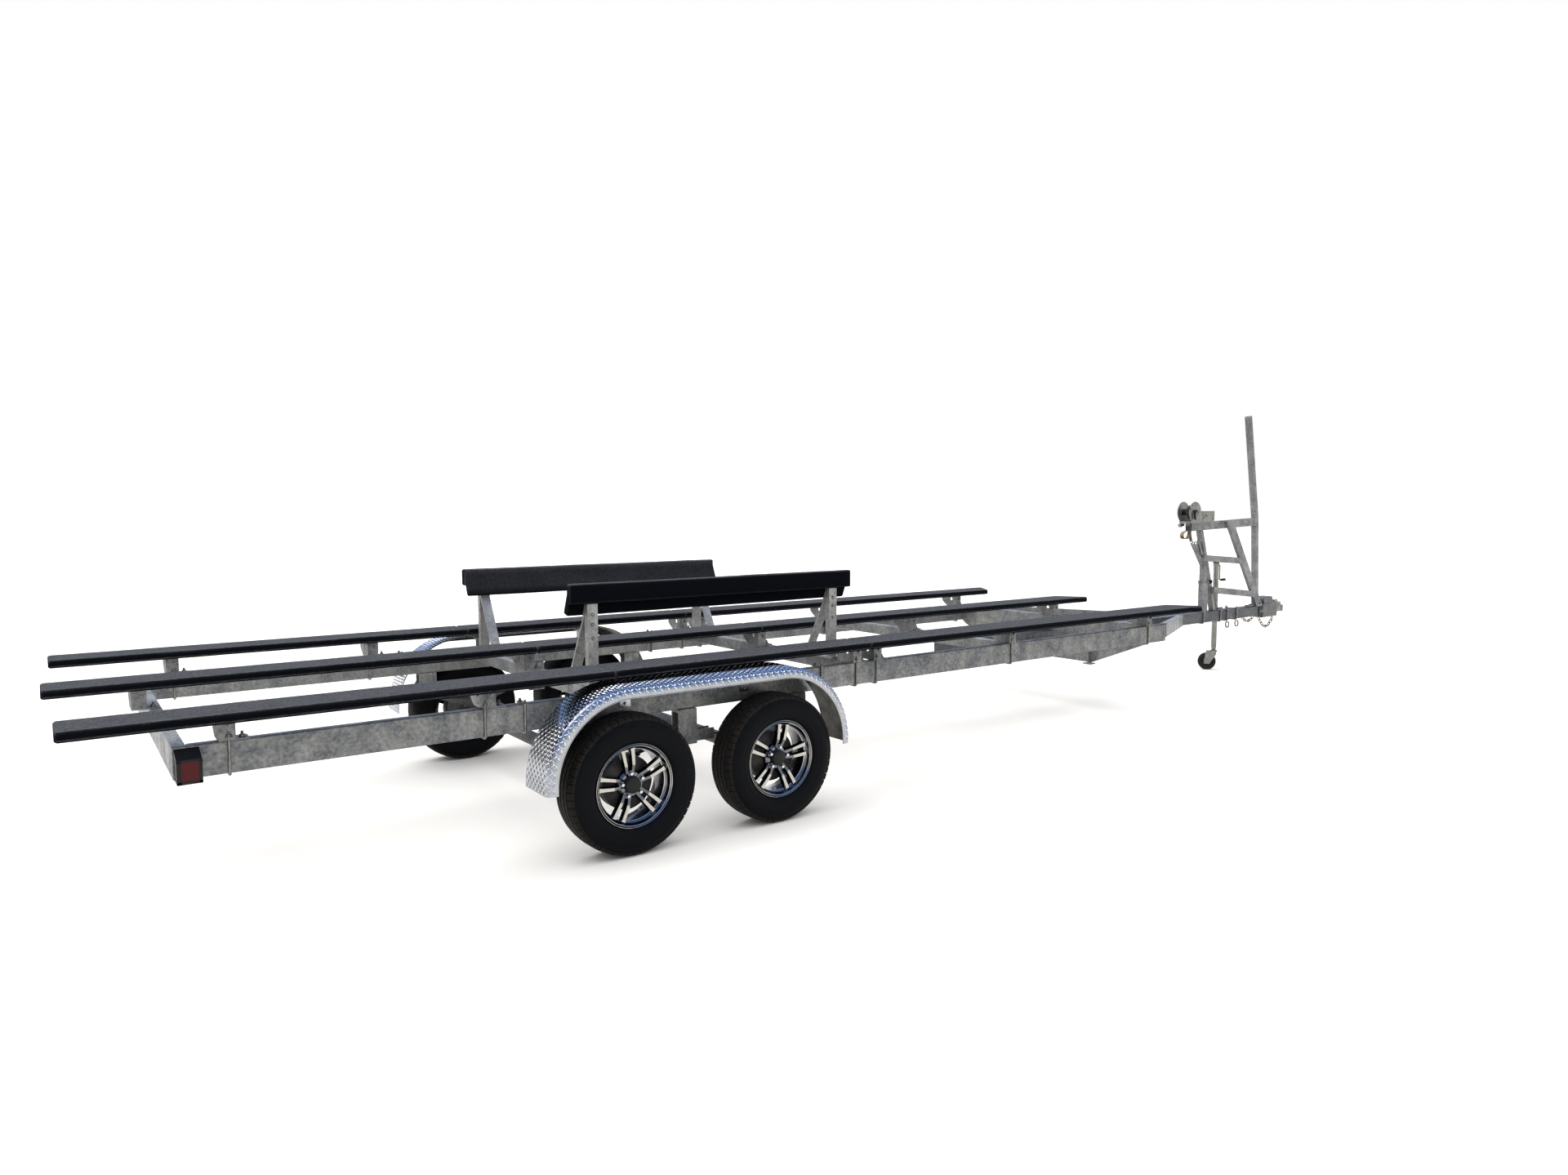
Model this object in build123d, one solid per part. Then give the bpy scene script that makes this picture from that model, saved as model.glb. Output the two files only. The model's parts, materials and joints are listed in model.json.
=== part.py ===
"""Tandem-axle bunk trailer for a three-hull pontoon boat, parked on its wheels and jack.

X runs forward to the coupler, Y to the left-hand side and Z up, in millimetres.
Stations along X are measured from the rear axle; every piece is moved at the end
so that the origin lies on the floor under the middle of the overall length.
"""
from build123d import *
import math
import os

# ---------------------------------------------------------------- running gear
tyre_dia = 688.0            # ST205/75R15
tyre_width = 204.0
tread_width = 158.0
tyre_gap = 61.0             # between a rail and the inner wall of its tyres
axle_gap = 870.0
bead_dia = 383.0
rim_lip_dia = 414.0
rim_lip = 7.0
barrel_wall = 7.0
spoke_pairs = 5
spoke_width = 20.0
spoke_gap_angle = 19.0      # between the two spokes of a pair, degrees
spoke_depth = 24.0
hub_disc_dia = 146.0
hub_cap_dia = 78.0
mount_face = 12.0           # wheel's mounting face, outward of its centre plane
stud_circle = 114.3
stud_count = 5
drum_dia = 268.0
drum_wall = 11.0
drum_depth = 62.0
backing_gap = 6.0
backing_plate = 6.0
spindle_dia = 40.0
pin_clear = 0.3
seat_gap = 0.3
axle_tube_dia = 76.0

spring_width = 45.0
leaf_thick = 9.0
leaf_count = 4
spring_half_length = 292.0
spring_camber = 62.0
eye_dia = 40.0
hanger_plate = 8.0
hanger_length = 110.0
rocker_plate = 6.0
eye_pin_dia = 16.0
seat_thick = 10.0

# ----------------------------------------------------------------------- frame
tube_width = 51.0
rail_height = 133.0
rail_outer = 1020.0         # outer face of each side rail from the centreline
rail_bottom = 627.0
rail_rear = -1875.0
rail_front = 4760.0
cross_height = 76.0
cross_rear_x = 20.0
cross_middle_x = 1635.0
cross_fore_x = 3000.0
front_cross = 4620.0

tongue_width = 102.0
tongue_height = 102.0
tongue_rear = 3310.0
tongue_front = 8045.0
drawbar_meet = 6500.0       # where the drawbar braces reach the tongue
brace_height = 104.0
slot_count = 3
slot_length = 46.0
slot_width = 12.0
slot_pitch = 70.0

drop_depth = 120.0          # drop crossmember, from its top to its underside
drop_flat = 900.0
drop_wing = 1860.0
knee_plate = 8.0
knee_foot = 70.0

# ----------------------------------------------------------------------- bunks
bunk_width = 245.0
bunk_thick = 45.0
bunk_lift = 91.0            # from the top of the rails to the underside of a bunk
bunk_spacing = 1040.0
side_bunk_rear = -2240.0
side_bunk_front = 5030.0
centre_bunk_rear = -2275.0
centre_bunk_front = 4985.0
side_bunk_joints = (-40.0, 1600.0)
centre_bunk_joints = (0.0, 1560.0)
joint_gap = 2.0
bunk_nose = 150.0           # length of the diagonal cut at the front end
bunk_nose_left = 35.0       # width left at the tip

bracket_plate = 6.0
bracket_leg = 62.0          # length of the plate that faces sideways
bracket_width = 180.0
bracket_corner = 58.0
bracket_corner_rise = 44.0
bracket_hole = 28.0
bracket_hole_inset = 62.0
bracket_foot = 112.0
bracket_foot_width = 78.0
bracket_overhang = 6.0      # past the near face of a rail
side_brackets = (-1715.0, -650.0, 1575.0, 1735.0, 2945.0, 4505.0)
centre_brackets = (-1945.0, -72.0, 1548.0, 2925.0, 4572.0)

# ---------------------------------------------------------------- guide boards
guide_middle = 750.0        # centre of the leaning board from the centreline
guide_height = 1207.0       # and from the floor
guide_width = 170.0
guide_thick = 42.0
guide_lean = 22.6           # degrees, the top outwards
guide_rear = -102.0
guide_front = 1734.0
guide_rail = 106.0          # height of the upright board on the posts
guide_rail_reach = 54.0     # its outer face beyond the leaning board's middle
guide_rail_over = 9.0       # past the leaning board at each end
guide_post_wide = 57.0
guide_post_thick = 36.0
guide_post_reach = 12.0     # inner face of a post beyond the board's middle
guide_post_drop = 21.0      # top of a post below the board's middle
guide_post_offsets = (-4.0, -31.0)   # from the middle of each crossmember
guide_head = 64.0           # length of the plate behind the leaning board
guide_head_thick = 8.0
guide_foot = 10.0
guide_brace_run = 197.0     # from the board's middle in to the foot of the brace
guide_brace_drop = 54.0     # from the board's middle down to the head of the brace
guide_brace_thick = 12.0

# --------------------------------------------------------------------- fenders
fender_inner = 1040.0
fender_outer = 1293.0
fender_top = 832.0
fender_flat_half = 456.0
fender_radius = 440.0
fender_low = 370.0
fender_skin = 4.0
fender_shoulder = 38.0      # radius of the outer shoulder
fender_skirt = 56.0
fender_bracket_spread = 360.0
fender_bracket_width = 60.0

lamp_depth = 85.0
lamp_width = 78.0
lamp_height = 92.0
lamp_hood = 34.0
lamp_inset = 8.0
lens_thick = 14.0

# ----------------------------------------------------------------- winch stand
sleeve_rear = 6938.0
sleeve_size = 64.0
sleeve_height = 300.0
post_size = 57.0
post_bend_z = 1095.0
post_end_x = 6806.0
post_end_z = 1300.0
leg_size = 51.0
leg_foot_x = 7150.0
leg_top_x = 6878.0
arm_size = 78.0
arm_rear = 6700.0
arm_rear_top = 1504.0
arm_front_top = 1544.0
cap_length = 29.0
mast_size = 51.0
mast_foot_x = 7954.0
mast_bend_x = 7894.0
mast_top_x = 7703.0
mast_top_z = 2575.0
brace_size = 66.0
brace_top_x = 7378.0
rung_size = 62.0
rung_thick = 40.0
upper_rung_rear_z = 1162.0
upper_rung_front_z = 1109.0
upper_rung_setback = -85.0   # from the middle of the sleeve
lower_rung_rear_z = 841.0
lower_rung_front_z = 755.0
lower_rung_setback = 90.0

winch_x = 6690.0
winch_cheek_dia = 200.0
winch_cheek = 5.0
winch_width = 128.0
winch_axis_lift = 106.0     # drum axis over the top of the arm
winch_base_length = 396.0
winch_side_height = 103.0
winch_base_pad = 40.0       # thickness of the wedge under the base, before it is cut to the arm
winch_base_lift = 2.0       # of the base plate over the front of the arm below it
drum_core_dia = 60.0
strap_coil_dia = 132.0
crank_length = 130.0
crank_bar = 16.0
crank_grip_dia = 32.0
crank_grip_length = 26.0

# ------------------------------------------------------------------------ jack
jack_x = 7346.0
jack_tube_dia = 52.0
jack_inner_dia = 42.0
jack_top = 1090.0
jack_sleeve_low = 228.0
jack_side_gap = 12.0
jack_pad = 160.0
jack_cap = 16.0
jack_crank_reach = 46.0
jack_crank_drop = 150.0
caster_dia = 172.0
caster_width = 50.0
caster_trail = 62.0
caster_turn = -59.3         # degrees the parked caster is turned about the jack
fork_plate = 6.0
fork_gap = 5.0
fork_top = 202.0
fork_crown = 18.0
caster_pin_dia = 16.0

# --------------------------------------------------------------------- coupler
ball_dia = 50.8
nose_x = 8486.0
coupler_axis_x = 8445.0
actuator_rear = 8016.0
actuator_length = 280.0
actuator_width = 116.0
actuator_height = 150.0
actuator_dome = 66.0        # height of the housing over the case
actuator_dome_length = 178.0
coupler_width = 84.0
coupler_height = 66.0
latch_length = 120.0
latch_height = 34.0
chain_wire = 9.0
chain_link_length = 56.0
chain_link_width = 34.0
chain_bite = 1.5
chain_side = 30.0
chain_anchor_x = 7980.0
chain_forward = 275.0
chain_forward_sag = 95.0
chain_back = 210.0
chain_back_sag = 45.0
chain_back_lift = 6.0

# -------------------------------------------------------------- derived places
tyre_radius = tyre_dia / 2
wheel_track_half = rail_outer + tyre_gap + tyre_width / 2
rail_top = rail_bottom + rail_height
rail_inner = rail_outer - tube_width
rail_middle = rail_outer - tube_width / 2
tongue_top = rail_bottom
tongue_bottom = tongue_top - tongue_height
bunk_bottom = rail_top + bunk_lift
axle_middle = axle_gap / 2
wheels = {"rear": 0.0, "front": axle_gap}
sides = {"left": 1, "right": -1}
middle_x = (nose_x + centre_bunk_rear) / 2
cross_stations = [cross_rear_x, cross_middle_x, cross_fore_x]
guide_post_inner = guide_middle + guide_post_reach
guide_brace_foot = guide_middle - guide_brace_run


def block(x0, x1, y0, y1, z0, z1):
    """Box between two corners, whichever way round they are given."""
    size = (abs(x1 - x0), abs(y1 - y0), abs(z1 - z0))
    return Pos((x0 + x1) / 2, (y0 + y1) / 2, (z0 + z1) / 2) * Box(*size)


def bar(start, end, along_y, across):
    """Straight rectangular bar between two points; along_y is its size in Y."""
    direction = Vector(*end) - Vector(*start)
    plane = Plane(origin=start, x_dir=(0, 1, 0), z_dir=direction)
    return extrude(plane * Rectangle(along_y, across), amount=direction.length)


def slab(points, y0, y1):
    """Flat-sided piece between two planes of Y from its (x, z) outline."""
    plane = Plane(origin=(0, min(y0, y1), 0), x_dir=(1, 0, 0), z_dir=(0, -1, 0))
    return extrude(plane * make_face(Polyline(*points, close=True)), amount=-abs(y1 - y0))


def rod_y(x, z, dia, y0, y1):
    """Round bar along Y."""
    plane = Plane(origin=(x, min(y0, y1), z), x_dir=(1, 0, 0), z_dir=(0, 1, 0))
    return extrude(plane * Circle(dia / 2), amount=abs(y1 - y0))


def rod_z(x, y, dia, z0, z1):
    """Round bar along Z."""
    return extrude(Plane((x, y, z0)) * Circle(dia / 2), amount=z1 - z0)


def wheel_section(points):
    """Ring turned about the wheel's axis from (outward, radius) points."""
    outline = Polyline(*[(s, r) for s, r in points], close=True)
    plane = Plane(origin=(0, 0, 0), x_dir=(0, 1, 0), z_dir=(1, 0, 0))
    return revolve(plane * make_face(outline), axis=Axis.Y, revolution_arc=360)


def place_wheel(piece, x, side):
    """Put a wheel piece, made with its outside towards +Y, at its hub."""
    if side < 0:
        piece = Rot(0, 0, 180) * piece
    return Pos(x, side * wheel_track_half, tyre_radius) * piece


# ---------------------------------------------------------------------- wheels
def tyre():
    half = tyre_width / 2
    tread = tread_width / 2
    bead = bead_dia / 2 + pin_clear
    seat = half - 26.0
    lip = rim_lip_dia / 2 + 3.0
    profile = [
        (-seat, bead), (-seat, lip), (-half + 3, lip + 26), (-half, lip + 58),
        (-half + 5, tyre_radius - 36), (-tread - 6, tyre_radius - 10), (-tread + 12, tyre_radius),
        (tread - 12, tyre_radius), (tread + 6, tyre_radius - 10), (half - 5, tyre_radius - 36),
        (half, lip + 58), (half - 3, lip + 26), (seat, lip), (seat, bead),
    ]
    return wheel_section(profile)


def rim():
    seat = tyre_width / 2 - 26.0 + pin_clear
    bead = bead_dia / 2
    lip = rim_lip_dia / 2
    inner = bead - barrel_wall
    barrel = wheel_section([
        (-seat - rim_lip, inner), (-seat - rim_lip, lip), (-seat, lip), (-seat, bead),
        (seat, bead), (seat, lip), (seat + rim_lip, lip), (seat + rim_lip, inner),
    ])
    disc_face = mount_face + 34.0
    disc = wheel_section([
        (mount_face, 0), (mount_face, hub_disc_dia / 2), (disc_face, hub_disc_dia / 2),
        (disc_face + 4, hub_cap_dia / 2), (disc_face + 22, hub_cap_dia / 2 - 4), (disc_face + 26, 0),
    ])
    outer_face = seat - 4.0
    start_s = disc_face - spoke_depth / 2
    end_s = outer_face - spoke_depth / 2
    spoke = bar((0, start_s, hub_disc_dia / 2 - 12), (0, end_s, inner + 3), spoke_depth, spoke_width)
    spokes = []
    for pair in range(spoke_pairs):
        for lean in (-1, 1):
            angle = pair * 360 / spoke_pairs + lean * spoke_gap_angle / 2
            spokes.append(Rot(0, angle, 0) * spoke)
    return barrel + disc + spokes


def hub():
    """Brake drum with its hub, which turns with the wheel."""
    outer = drum_dia / 2
    back = mount_face - drum_depth - 14.0
    web = mount_face - 14.0
    barrel = spindle_dia / 2 + 18.0
    bore = spindle_dia / 2 + pin_clear
    return wheel_section([
        (mount_face, 0), (mount_face, 74), (web + 4, outer - 12), (web, outer), (back, outer),
        (back, outer - drum_wall), (web - 8, outer - drum_wall), (web - 8, barrel),
        (back + 6, barrel), (back + 6, bore), (web - 4, bore), (web - 4, 0),
    ])


def axle(x):
    """Tube with a spindle and a brake backing plate at each end."""
    back = mount_face - drum_depth - 14.0
    plate_out = wheel_track_half + back - backing_gap
    spindle_end = wheel_track_half + mount_face - 14.0 - 4.0 - pin_clear
    body = rod_y(x, tyre_radius, axle_tube_dia, -plate_out + backing_plate, plate_out - backing_plate)
    for side in sides.values():
        inner = side * (plate_out - backing_plate)
        body += rod_y(x, tyre_radius, drum_dia - 10, inner, side * plate_out)
        body += rod_y(x, tyre_radius, spindle_dia, inner, side * spindle_end)
    return body


# ------------------------------------------------------------------ suspension
spring_low = tyre_radius + axle_tube_dia / 2 + seat_thick
eye_z = spring_low + leaf_count * leaf_thick + spring_camber - leaf_thick / 2


def leaf_spring(x, side):
    """Stack of leaves, the longest on top, with an eye at each end."""
    y = side * rail_middle
    main_low = spring_low + (leaf_count - 1) * leaf_thick
    radius = (spring_half_length ** 2 + spring_camber ** 2) / (2 * spring_camber)
    plane = Plane(origin=(x, y - spring_width / 2, 0), x_dir=(1, 0, 0), z_dir=(0, -1, 0))
    leaves = []
    for count in range(leaf_count):
        low = main_low - count * leaf_thick
        reach = spring_half_length * (1 - 0.22 * count)
        outer = radius - (low - spring_low)
        inner = outer - leaf_thick
        centre = spring_low + radius
        half_angle = math.asin(reach / radius)
        tip = Vector(math.sin(half_angle), -math.cos(half_angle))
        points = []
        for r in (outer, inner):
            end_z = centre + tip.Y * r
            points.append([(-tip.X * r, end_z), (0, centre - r), (tip.X * r, end_z)])
        low_arc = ThreePointArc(*points[0])
        high_arc = ThreePointArc(*points[1])
        ends = [Line(points[0][0], points[1][0]), Line(points[0][2], points[1][2])]
        leaves.append(extrude(plane * make_face([low_arc, high_arc] + ends), amount=-spring_width))
    stack = leaves[0]
    for leaf in leaves[1:]:
        stack += leaf
    for end in (-1, 1):
        eye_x = x + end * spring_half_length
        stack += rod_y(eye_x, eye_z, eye_dia, y - spring_width / 2, y + spring_width / 2)
        stack -= rod_y(eye_x, eye_z, eye_pin_dia + 2 * pin_clear, y - spring_width, y + spring_width)
    seat = block(x - 60, x + 60, y - spring_width / 2, y + spring_width / 2,
                 tyre_radius + axle_tube_dia / 2 - 6, spring_low + leaf_thick)
    tube = rod_y(x, tyre_radius, axle_tube_dia + 2 * pin_clear, y - spring_width, y + spring_width)
    return stack + (seat - tube)


def hanger(x, side, half, low):
    """Two cheeks hung under the rail, half their gap either side of its middle."""
    y = side * rail_middle
    cheeks = block(x - hanger_length / 2, x + hanger_length / 2, y - half - hanger_plate,
                   y + half + hanger_plate, low, rail_bottom)
    slot = block(x - hanger_length, x + hanger_length, y - half, y + half, low - 1, rail_bottom - 16)
    return cheeks - slot


def hangers(side):
    """End hangers with their pins, and the middle one with its rocker."""
    y = side * rail_middle
    half = spring_width / 2 + 1.0
    outer = half + hanger_plate + 8
    pieces = []
    for x in (-spring_half_length, axle_gap + spring_half_length):
        pin = rod_y(x, eye_z, eye_pin_dia, y - outer, y + outer)
        pieces.append(hanger(x, side, half, eye_z - 26) + pin)
    rocker_z = eye_z - 12
    middle = hanger(axle_middle, side, half + rocker_plate, rocker_z - 34)
    reach = axle_middle - spring_half_length
    for end in (-1, 1):
        y0 = y + end * half
        middle += block(axle_middle - reach - 22, axle_middle + reach + 22, y0, y0 + end * rocker_plate,
                        rocker_z - 24, rocker_z + 34)
        middle += rod_y(axle_middle + end * reach, eye_z, eye_pin_dia, y - half - rocker_plate,
                        y + half + rocker_plate)
    middle += rod_y(axle_middle, rocker_z, eye_dia, y - outer - rocker_plate, y + outer + rocker_plate)
    pieces.append(middle)
    return pieces


# ----------------------------------------------------------------------- frame
def rail(side):
    return block(rail_rear + tube_width, rail_front, side * rail_inner, side * rail_outer,
                 rail_bottom, rail_top)


def rear_crossmember():
    return block(rail_rear, rail_rear + tube_width, -rail_outer, rail_outer, rail_bottom, rail_top)


def crossmember(x, low):
    return block(x - tube_width / 2, x + tube_width / 2, -rail_inner, rail_inner, low, rail_top)


def drop_crossmember():
    """Deep plate member that carries the tongue under the front crossmember."""
    top = tongue_bottom
    low = top - drop_depth
    knee = drop_flat / 2
    wing = drop_wing / 2
    rise = rail_bottom - low
    shoulder = knee + (wing - knee) / rise * (rail_bottom - top) - 60
    outline = Polyline(
        (-rail_inner, rail_bottom), (-wing, rail_bottom - 28), (-knee, low), (knee, low),
        (wing, rail_bottom - 28), (rail_inner, rail_bottom), (shoulder, rail_bottom), (knee - 60, top),
        (-knee + 60, top), (-shoulder, rail_bottom), close=True)
    x0 = front_cross - tube_width / 2
    plane = Plane(origin=(x0, 0, 0), x_dir=(0, 1, 0), z_dir=(1, 0, 0))
    member = extrude(plane * make_face(outline), amount=tube_width)
    for side in sides.values():
        y = side * (knee + knee_plate)
        member += block(x0 - 40, x0, y, y - side * knee_plate, low - 2, rail_bottom - 30)
        member += block(x0 - 60, x0 + 10, y - side * knee_foot / 2, y + side * knee_foot / 2, low - 10, low)
    return member


def tongue():
    half = tongue_width / 2
    return block(tongue_rear, tongue_front, -half, half, tongue_bottom, tongue_top)


def drawbar_brace(side):
    """Sloping brace from the front of a rail in to the tongue."""
    rail_z = rail_top - brace_height / 2
    tongue_z = tongue_top - brace_height / 2
    start = Vector(rail_front, side * rail_middle, rail_z)
    end = Vector(drawbar_meet, side * tongue_width / 2, tongue_z)
    run = end - start
    across = Vector(run.Y, -run.X, 0).normalized()
    plane = Plane(origin=start - run * 0.1, x_dir=across, z_dir=run)
    brace = extrude(plane * Rectangle(tube_width, brace_height), amount=run.length * 1.12)
    keep = block(rail_front, drawbar_meet + 200, side * tongue_width / 2, side * (rail_outer + 1),
                 0, rail_top)
    brace = brace & keep
    for index in range(slot_count):
        centre = start + run * ((run.length - 130 - index * slot_pitch) / run.length)
        slot = Plane(origin=centre, x_dir=across, z_dir=run) * Box(tube_width * 2, slot_length, slot_width)
        brace -= slot
    return brace


# ----------------------------------------------------------------------- bunks
def bunk(y, rear, front, joints, cut_side):
    """Carpeted board in lengths that butt over the brackets."""
    half = bunk_width / 2
    ends = [rear, *joints, front]
    boards = []
    for index in range(len(ends) - 1):
        x0 = ends[index] + (joint_gap / 2 if index else 0)
        x1 = ends[index + 1] - (joint_gap / 2 if index < len(joints) else 0)
        board = block(x0, x1, y - half, y + half, bunk_bottom, bunk_bottom + bunk_thick)
        if index == len(joints):
            inner = y + cut_side * half
            tip = y - cut_side * (half - bunk_nose_left)
            wedge = make_face(Polyline((x1 - bunk_nose, inner), (x1 + 1, inner), (x1 + 1, tip),
                                       (x1, tip), close=True))
            board -= extrude(Plane((0, 0, bunk_bottom - 1)) * wedge, amount=bunk_thick + 2)
        boards.append(board)
    return boards


def bracket(x, near):
    """Angle stood on its foot under a bunk, with one cut corner and a hole.

    near is the Y of its plate that faces the right-hand side; the other plate
    faces the rear and reaches from there towards the left.
    """
    low = rail_top
    top = bunk_bottom
    far = near + bracket_width
    side_plate = block(x, x + bracket_leg, near, near + bracket_plate, low, top)
    foot = block(x, x + bracket_foot, near, near + bracket_foot_width, low, low + bracket_plate)
    outline = Polyline((near, low), (far - bracket_corner, low), (far, low + bracket_corner_rise),
                       (far, top), (near, top), close=True)
    plane = Plane(origin=(x, 0, 0), x_dir=(0, 1, 0), z_dir=(1, 0, 0))
    end_plate = extrude(plane * make_face(outline), amount=bracket_plate)
    hole_at = Plane(origin=(x - 1, near + bracket_hole_inset, top - bracket_hole), z_dir=(1, 0, 0))
    end_plate -= extrude(hole_at * Circle(bracket_hole / 2), amount=bracket_plate + 2)
    return side_plate + end_plate + foot


def mirrored(piece):
    return mirror(piece, about=Plane.XZ)


# ---------------------------------------------------------------- guide boards
guide_up = Vector(0, math.sin(math.radians(guide_lean)), math.cos(math.radians(guide_lean)))
guide_out = Vector(0, math.cos(math.radians(guide_lean)), -math.sin(math.radians(guide_lean)))


def guide_slab(x0, x1, low, high, inside, outside):
    """Piece in the left-hand board's lean, measured along and out from the board's middle."""
    middle = Vector(0, guide_middle, guide_height)
    corners = []
    for along, depth in ((low, inside), (high, inside), (high, outside), (low, outside)):
        corner = middle + guide_up * along + guide_out * depth
        corners.append((corner.Y, corner.Z))
    plane = Plane(origin=(x0, 0, 0), x_dir=(0, 1, 0), z_dir=(1, 0, 0))
    return extrude(plane * make_face(Polyline(*corners, close=True)), amount=x1 - x0)


def guide_board(side):
    """Leaning board with an upright board along the outside of its top."""
    half = guide_thick / 2
    board = guide_slab(guide_rear, guide_front, -guide_width / 2, guide_width / 2, -half, half)
    outer = guide_middle + guide_rail_reach
    low = guide_height - guide_post_drop
    board += block(guide_rear - guide_rail_over, guide_front + guide_rail_over, outer - guide_thick, outer,
                   low, low + guide_rail)
    return board if side > 0 else mirrored(board)


def guide_posts(side):
    """Upright with a leaning head plate, and an inward brace, at two crossmembers."""
    face = guide_thick / 2
    back = face + guide_head_thick
    lowest = -guide_width / 2
    top = guide_height - guide_post_drop
    pieces = []
    for station, offset in zip(cross_stations[:2], guide_post_offsets):
        x0 = station + offset - guide_post_wide / 2
        x1 = x0 + guide_post_wide
        outer = guide_post_inner + guide_post_thick
        upright = block(x0, x1, guide_post_inner, outer, rail_top, top)
        upright -= guide_slab(x0 - 1, x1 + 1, -guide_width, guide_width, -guide_width, face)
        head = guide_slab(x0, x1, lowest, lowest + guide_head, face, back)
        brace_start = (x0 + guide_post_wide / 2, guide_post_inner + 6, guide_height - guide_brace_drop)
        brace_end = (x0 + guide_post_wide / 2, guide_brace_foot, rail_top + guide_foot / 2)
        run = Vector(*brace_end) - Vector(*brace_start)
        plane = Plane(origin=brace_start, x_dir=(1, 0, 0), z_dir=run)
        brace = extrude(plane * Rectangle(guide_post_wide, guide_brace_thick), amount=run.length)
        base = block(x0, x1, guide_brace_foot - 25, outer + 20, rail_top, rail_top + guide_foot)
        below = block(x0 - 1, x1 + 1, guide_brace_foot - 60, outer, rail_top - 60, rail_top)
        post = upright + head + brace + base - below
        pieces.append(post if side > 0 else mirrored(post))
    return pieces


# --------------------------------------------------------------------- fenders
def fender_outline(inset):
    """Tandem arch, flat on top, with straight lower ends."""
    radius = fender_radius - inset
    top = fender_top - inset
    centre_z = fender_top - fender_radius
    side_x = fender_flat_half + radius
    diagonal = radius * math.sqrt(0.5)
    edges = []
    for end in (-1, 1):
        edges.append(ThreePointArc((end * side_x, centre_z),
                                   (end * (fender_flat_half + diagonal), centre_z + diagonal),
                                   (end * fender_flat_half, top)))
        edges.append(Line((end * side_x, fender_low), (end * side_x, centre_z)))
    edges.append(Line((-fender_flat_half, top), (fender_flat_half, top)))
    edges.append(Line((-side_x, fender_low), (side_x, fender_low)))
    return make_face(edges)


def fender_form(inset, y0, y1):
    """Arch between two planes of Y, its shoulder on the outer side rounded."""
    plane = Plane(origin=(axle_middle, y0, 0), x_dir=(1, 0, 0), z_dir=(0, -1, 0))
    form = extrude(plane * fender_outline(inset), amount=y0 - y1)
    outer_edges = [edge for edge in form.faces().sort_by(Axis.Y)[-1].edges()
                   if edge.center().Z > fender_low + 1]
    return fillet(outer_edges, fender_shoulder - inset)


def fender(side):
    shell = fender_form(0, fender_inner, fender_outer)
    shell -= fender_form(fender_skin, fender_inner - 1, fender_outer - fender_skin)
    opening_at = Plane(origin=(axle_middle, fender_inner, 0), x_dir=(1, 0, 0), z_dir=(0, -1, 0))
    shell -= extrude(opening_at * fender_outline(fender_skirt), amount=fender_inner - fender_outer - 10)
    under = fender_top - fender_skin
    body = shell
    for end in (-1, 1):
        x = axle_middle + end * fender_bracket_spread
        x0 = x - fender_bracket_width / 2
        x1 = x + fender_bracket_width / 2
        body += block(x0, x1, rail_outer, rail_outer + bracket_plate, rail_top - 80, under)
        body += block(x0, x1, rail_outer, fender_outer - fender_shoulder - 8, under - bracket_plate, under)
    if side < 0:
        body = mirrored(body)
    return body


def tail_lamp(side):
    """Lamp on the rail's outer face: a hooded housing, and a lens round its rear and its end."""
    x0 = rail_rear + lamp_inset
    top = rail_top - lamp_inset - lamp_hood
    low = top - lamp_height
    outer = rail_outer + lamp_width
    lens = block(x0, x0 + lamp_depth, side * rail_outer, side * outer, low, top)
    lens -= block(x0 + lens_thick, x0 + lamp_depth + 1, side * (rail_outer - 1), side * (outer - lens_thick),
                  low - 1, top + 1)
    box = block(x0 + lens_thick, x0 + lamp_depth, side * rail_outer, side * (outer - lens_thick), low, top)
    outline = Polyline((side * rail_outer, top), (side * (outer + 2), top), (side * (outer + 2), top + 4),
                       (side * rail_outer, top + lamp_hood), close=True)
    plane = Plane(origin=(x0 - 2, 0, 0), x_dir=(0, 1, 0), z_dir=(1, 0, 0))
    hood = extrude(plane * make_face(outline), amount=lamp_depth + 2)
    return [box + hood, lens]


# ----------------------------------------------------------------- winch stand
sleeve_x = sleeve_rear + sleeve_size / 2
arm_slope = (arm_front_top - arm_rear_top) / (mast_bend_x - arm_rear)
sleeve_top = tongue_top + sleeve_height


def arm_top(x):
    return arm_rear_top + (x - arm_rear) * arm_slope


def arm_low(x):
    return arm_top(x) - arm_size


def under_arm(foot_x, foot_z, top_x, across):
    """Outline of a leaning leg, level at its foot and cut to the arm's underside."""
    lean = (top_x - foot_x) / (arm_low(top_x) - foot_z)
    half = across / 2 * math.hypot(1, lean)
    tops = []
    for end in (1, -1):
        edge_x = foot_x + end * half
        x = (edge_x + lean * (arm_low(0) - foot_z)) / (1 - lean * arm_slope)
        tops.append((x, arm_low(x)))
    return [(foot_x - half, foot_z), (foot_x + half, foot_z), *tops]


def sleeve_post():
    """Sleeve on the tongue and the rear post in it, its free end bent back below the arm."""
    sleeve = bar((sleeve_x, 0, tongue_top), (sleeve_x, 0, sleeve_top), sleeve_size, sleeve_size)
    lean = (sleeve_x - post_end_x) / (post_end_z - post_bend_z)
    half = post_size / 2
    end_half = half * math.hypot(1, lean)
    rear_bend_z = post_end_z - (sleeve_x - half - post_end_x + end_half) / lean
    front_bend_z = post_end_z - (sleeve_x + half - post_end_x - end_half) / lean
    post = slab([(sleeve_x - half, sleeve_top), (sleeve_x + half, sleeve_top),
                 (sleeve_x + half, front_bend_z), (post_end_x + end_half, post_end_z),
                 (post_end_x - end_half, post_end_z), (sleeve_x - half, rear_bend_z)], -half, half)
    return sleeve + post


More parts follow.
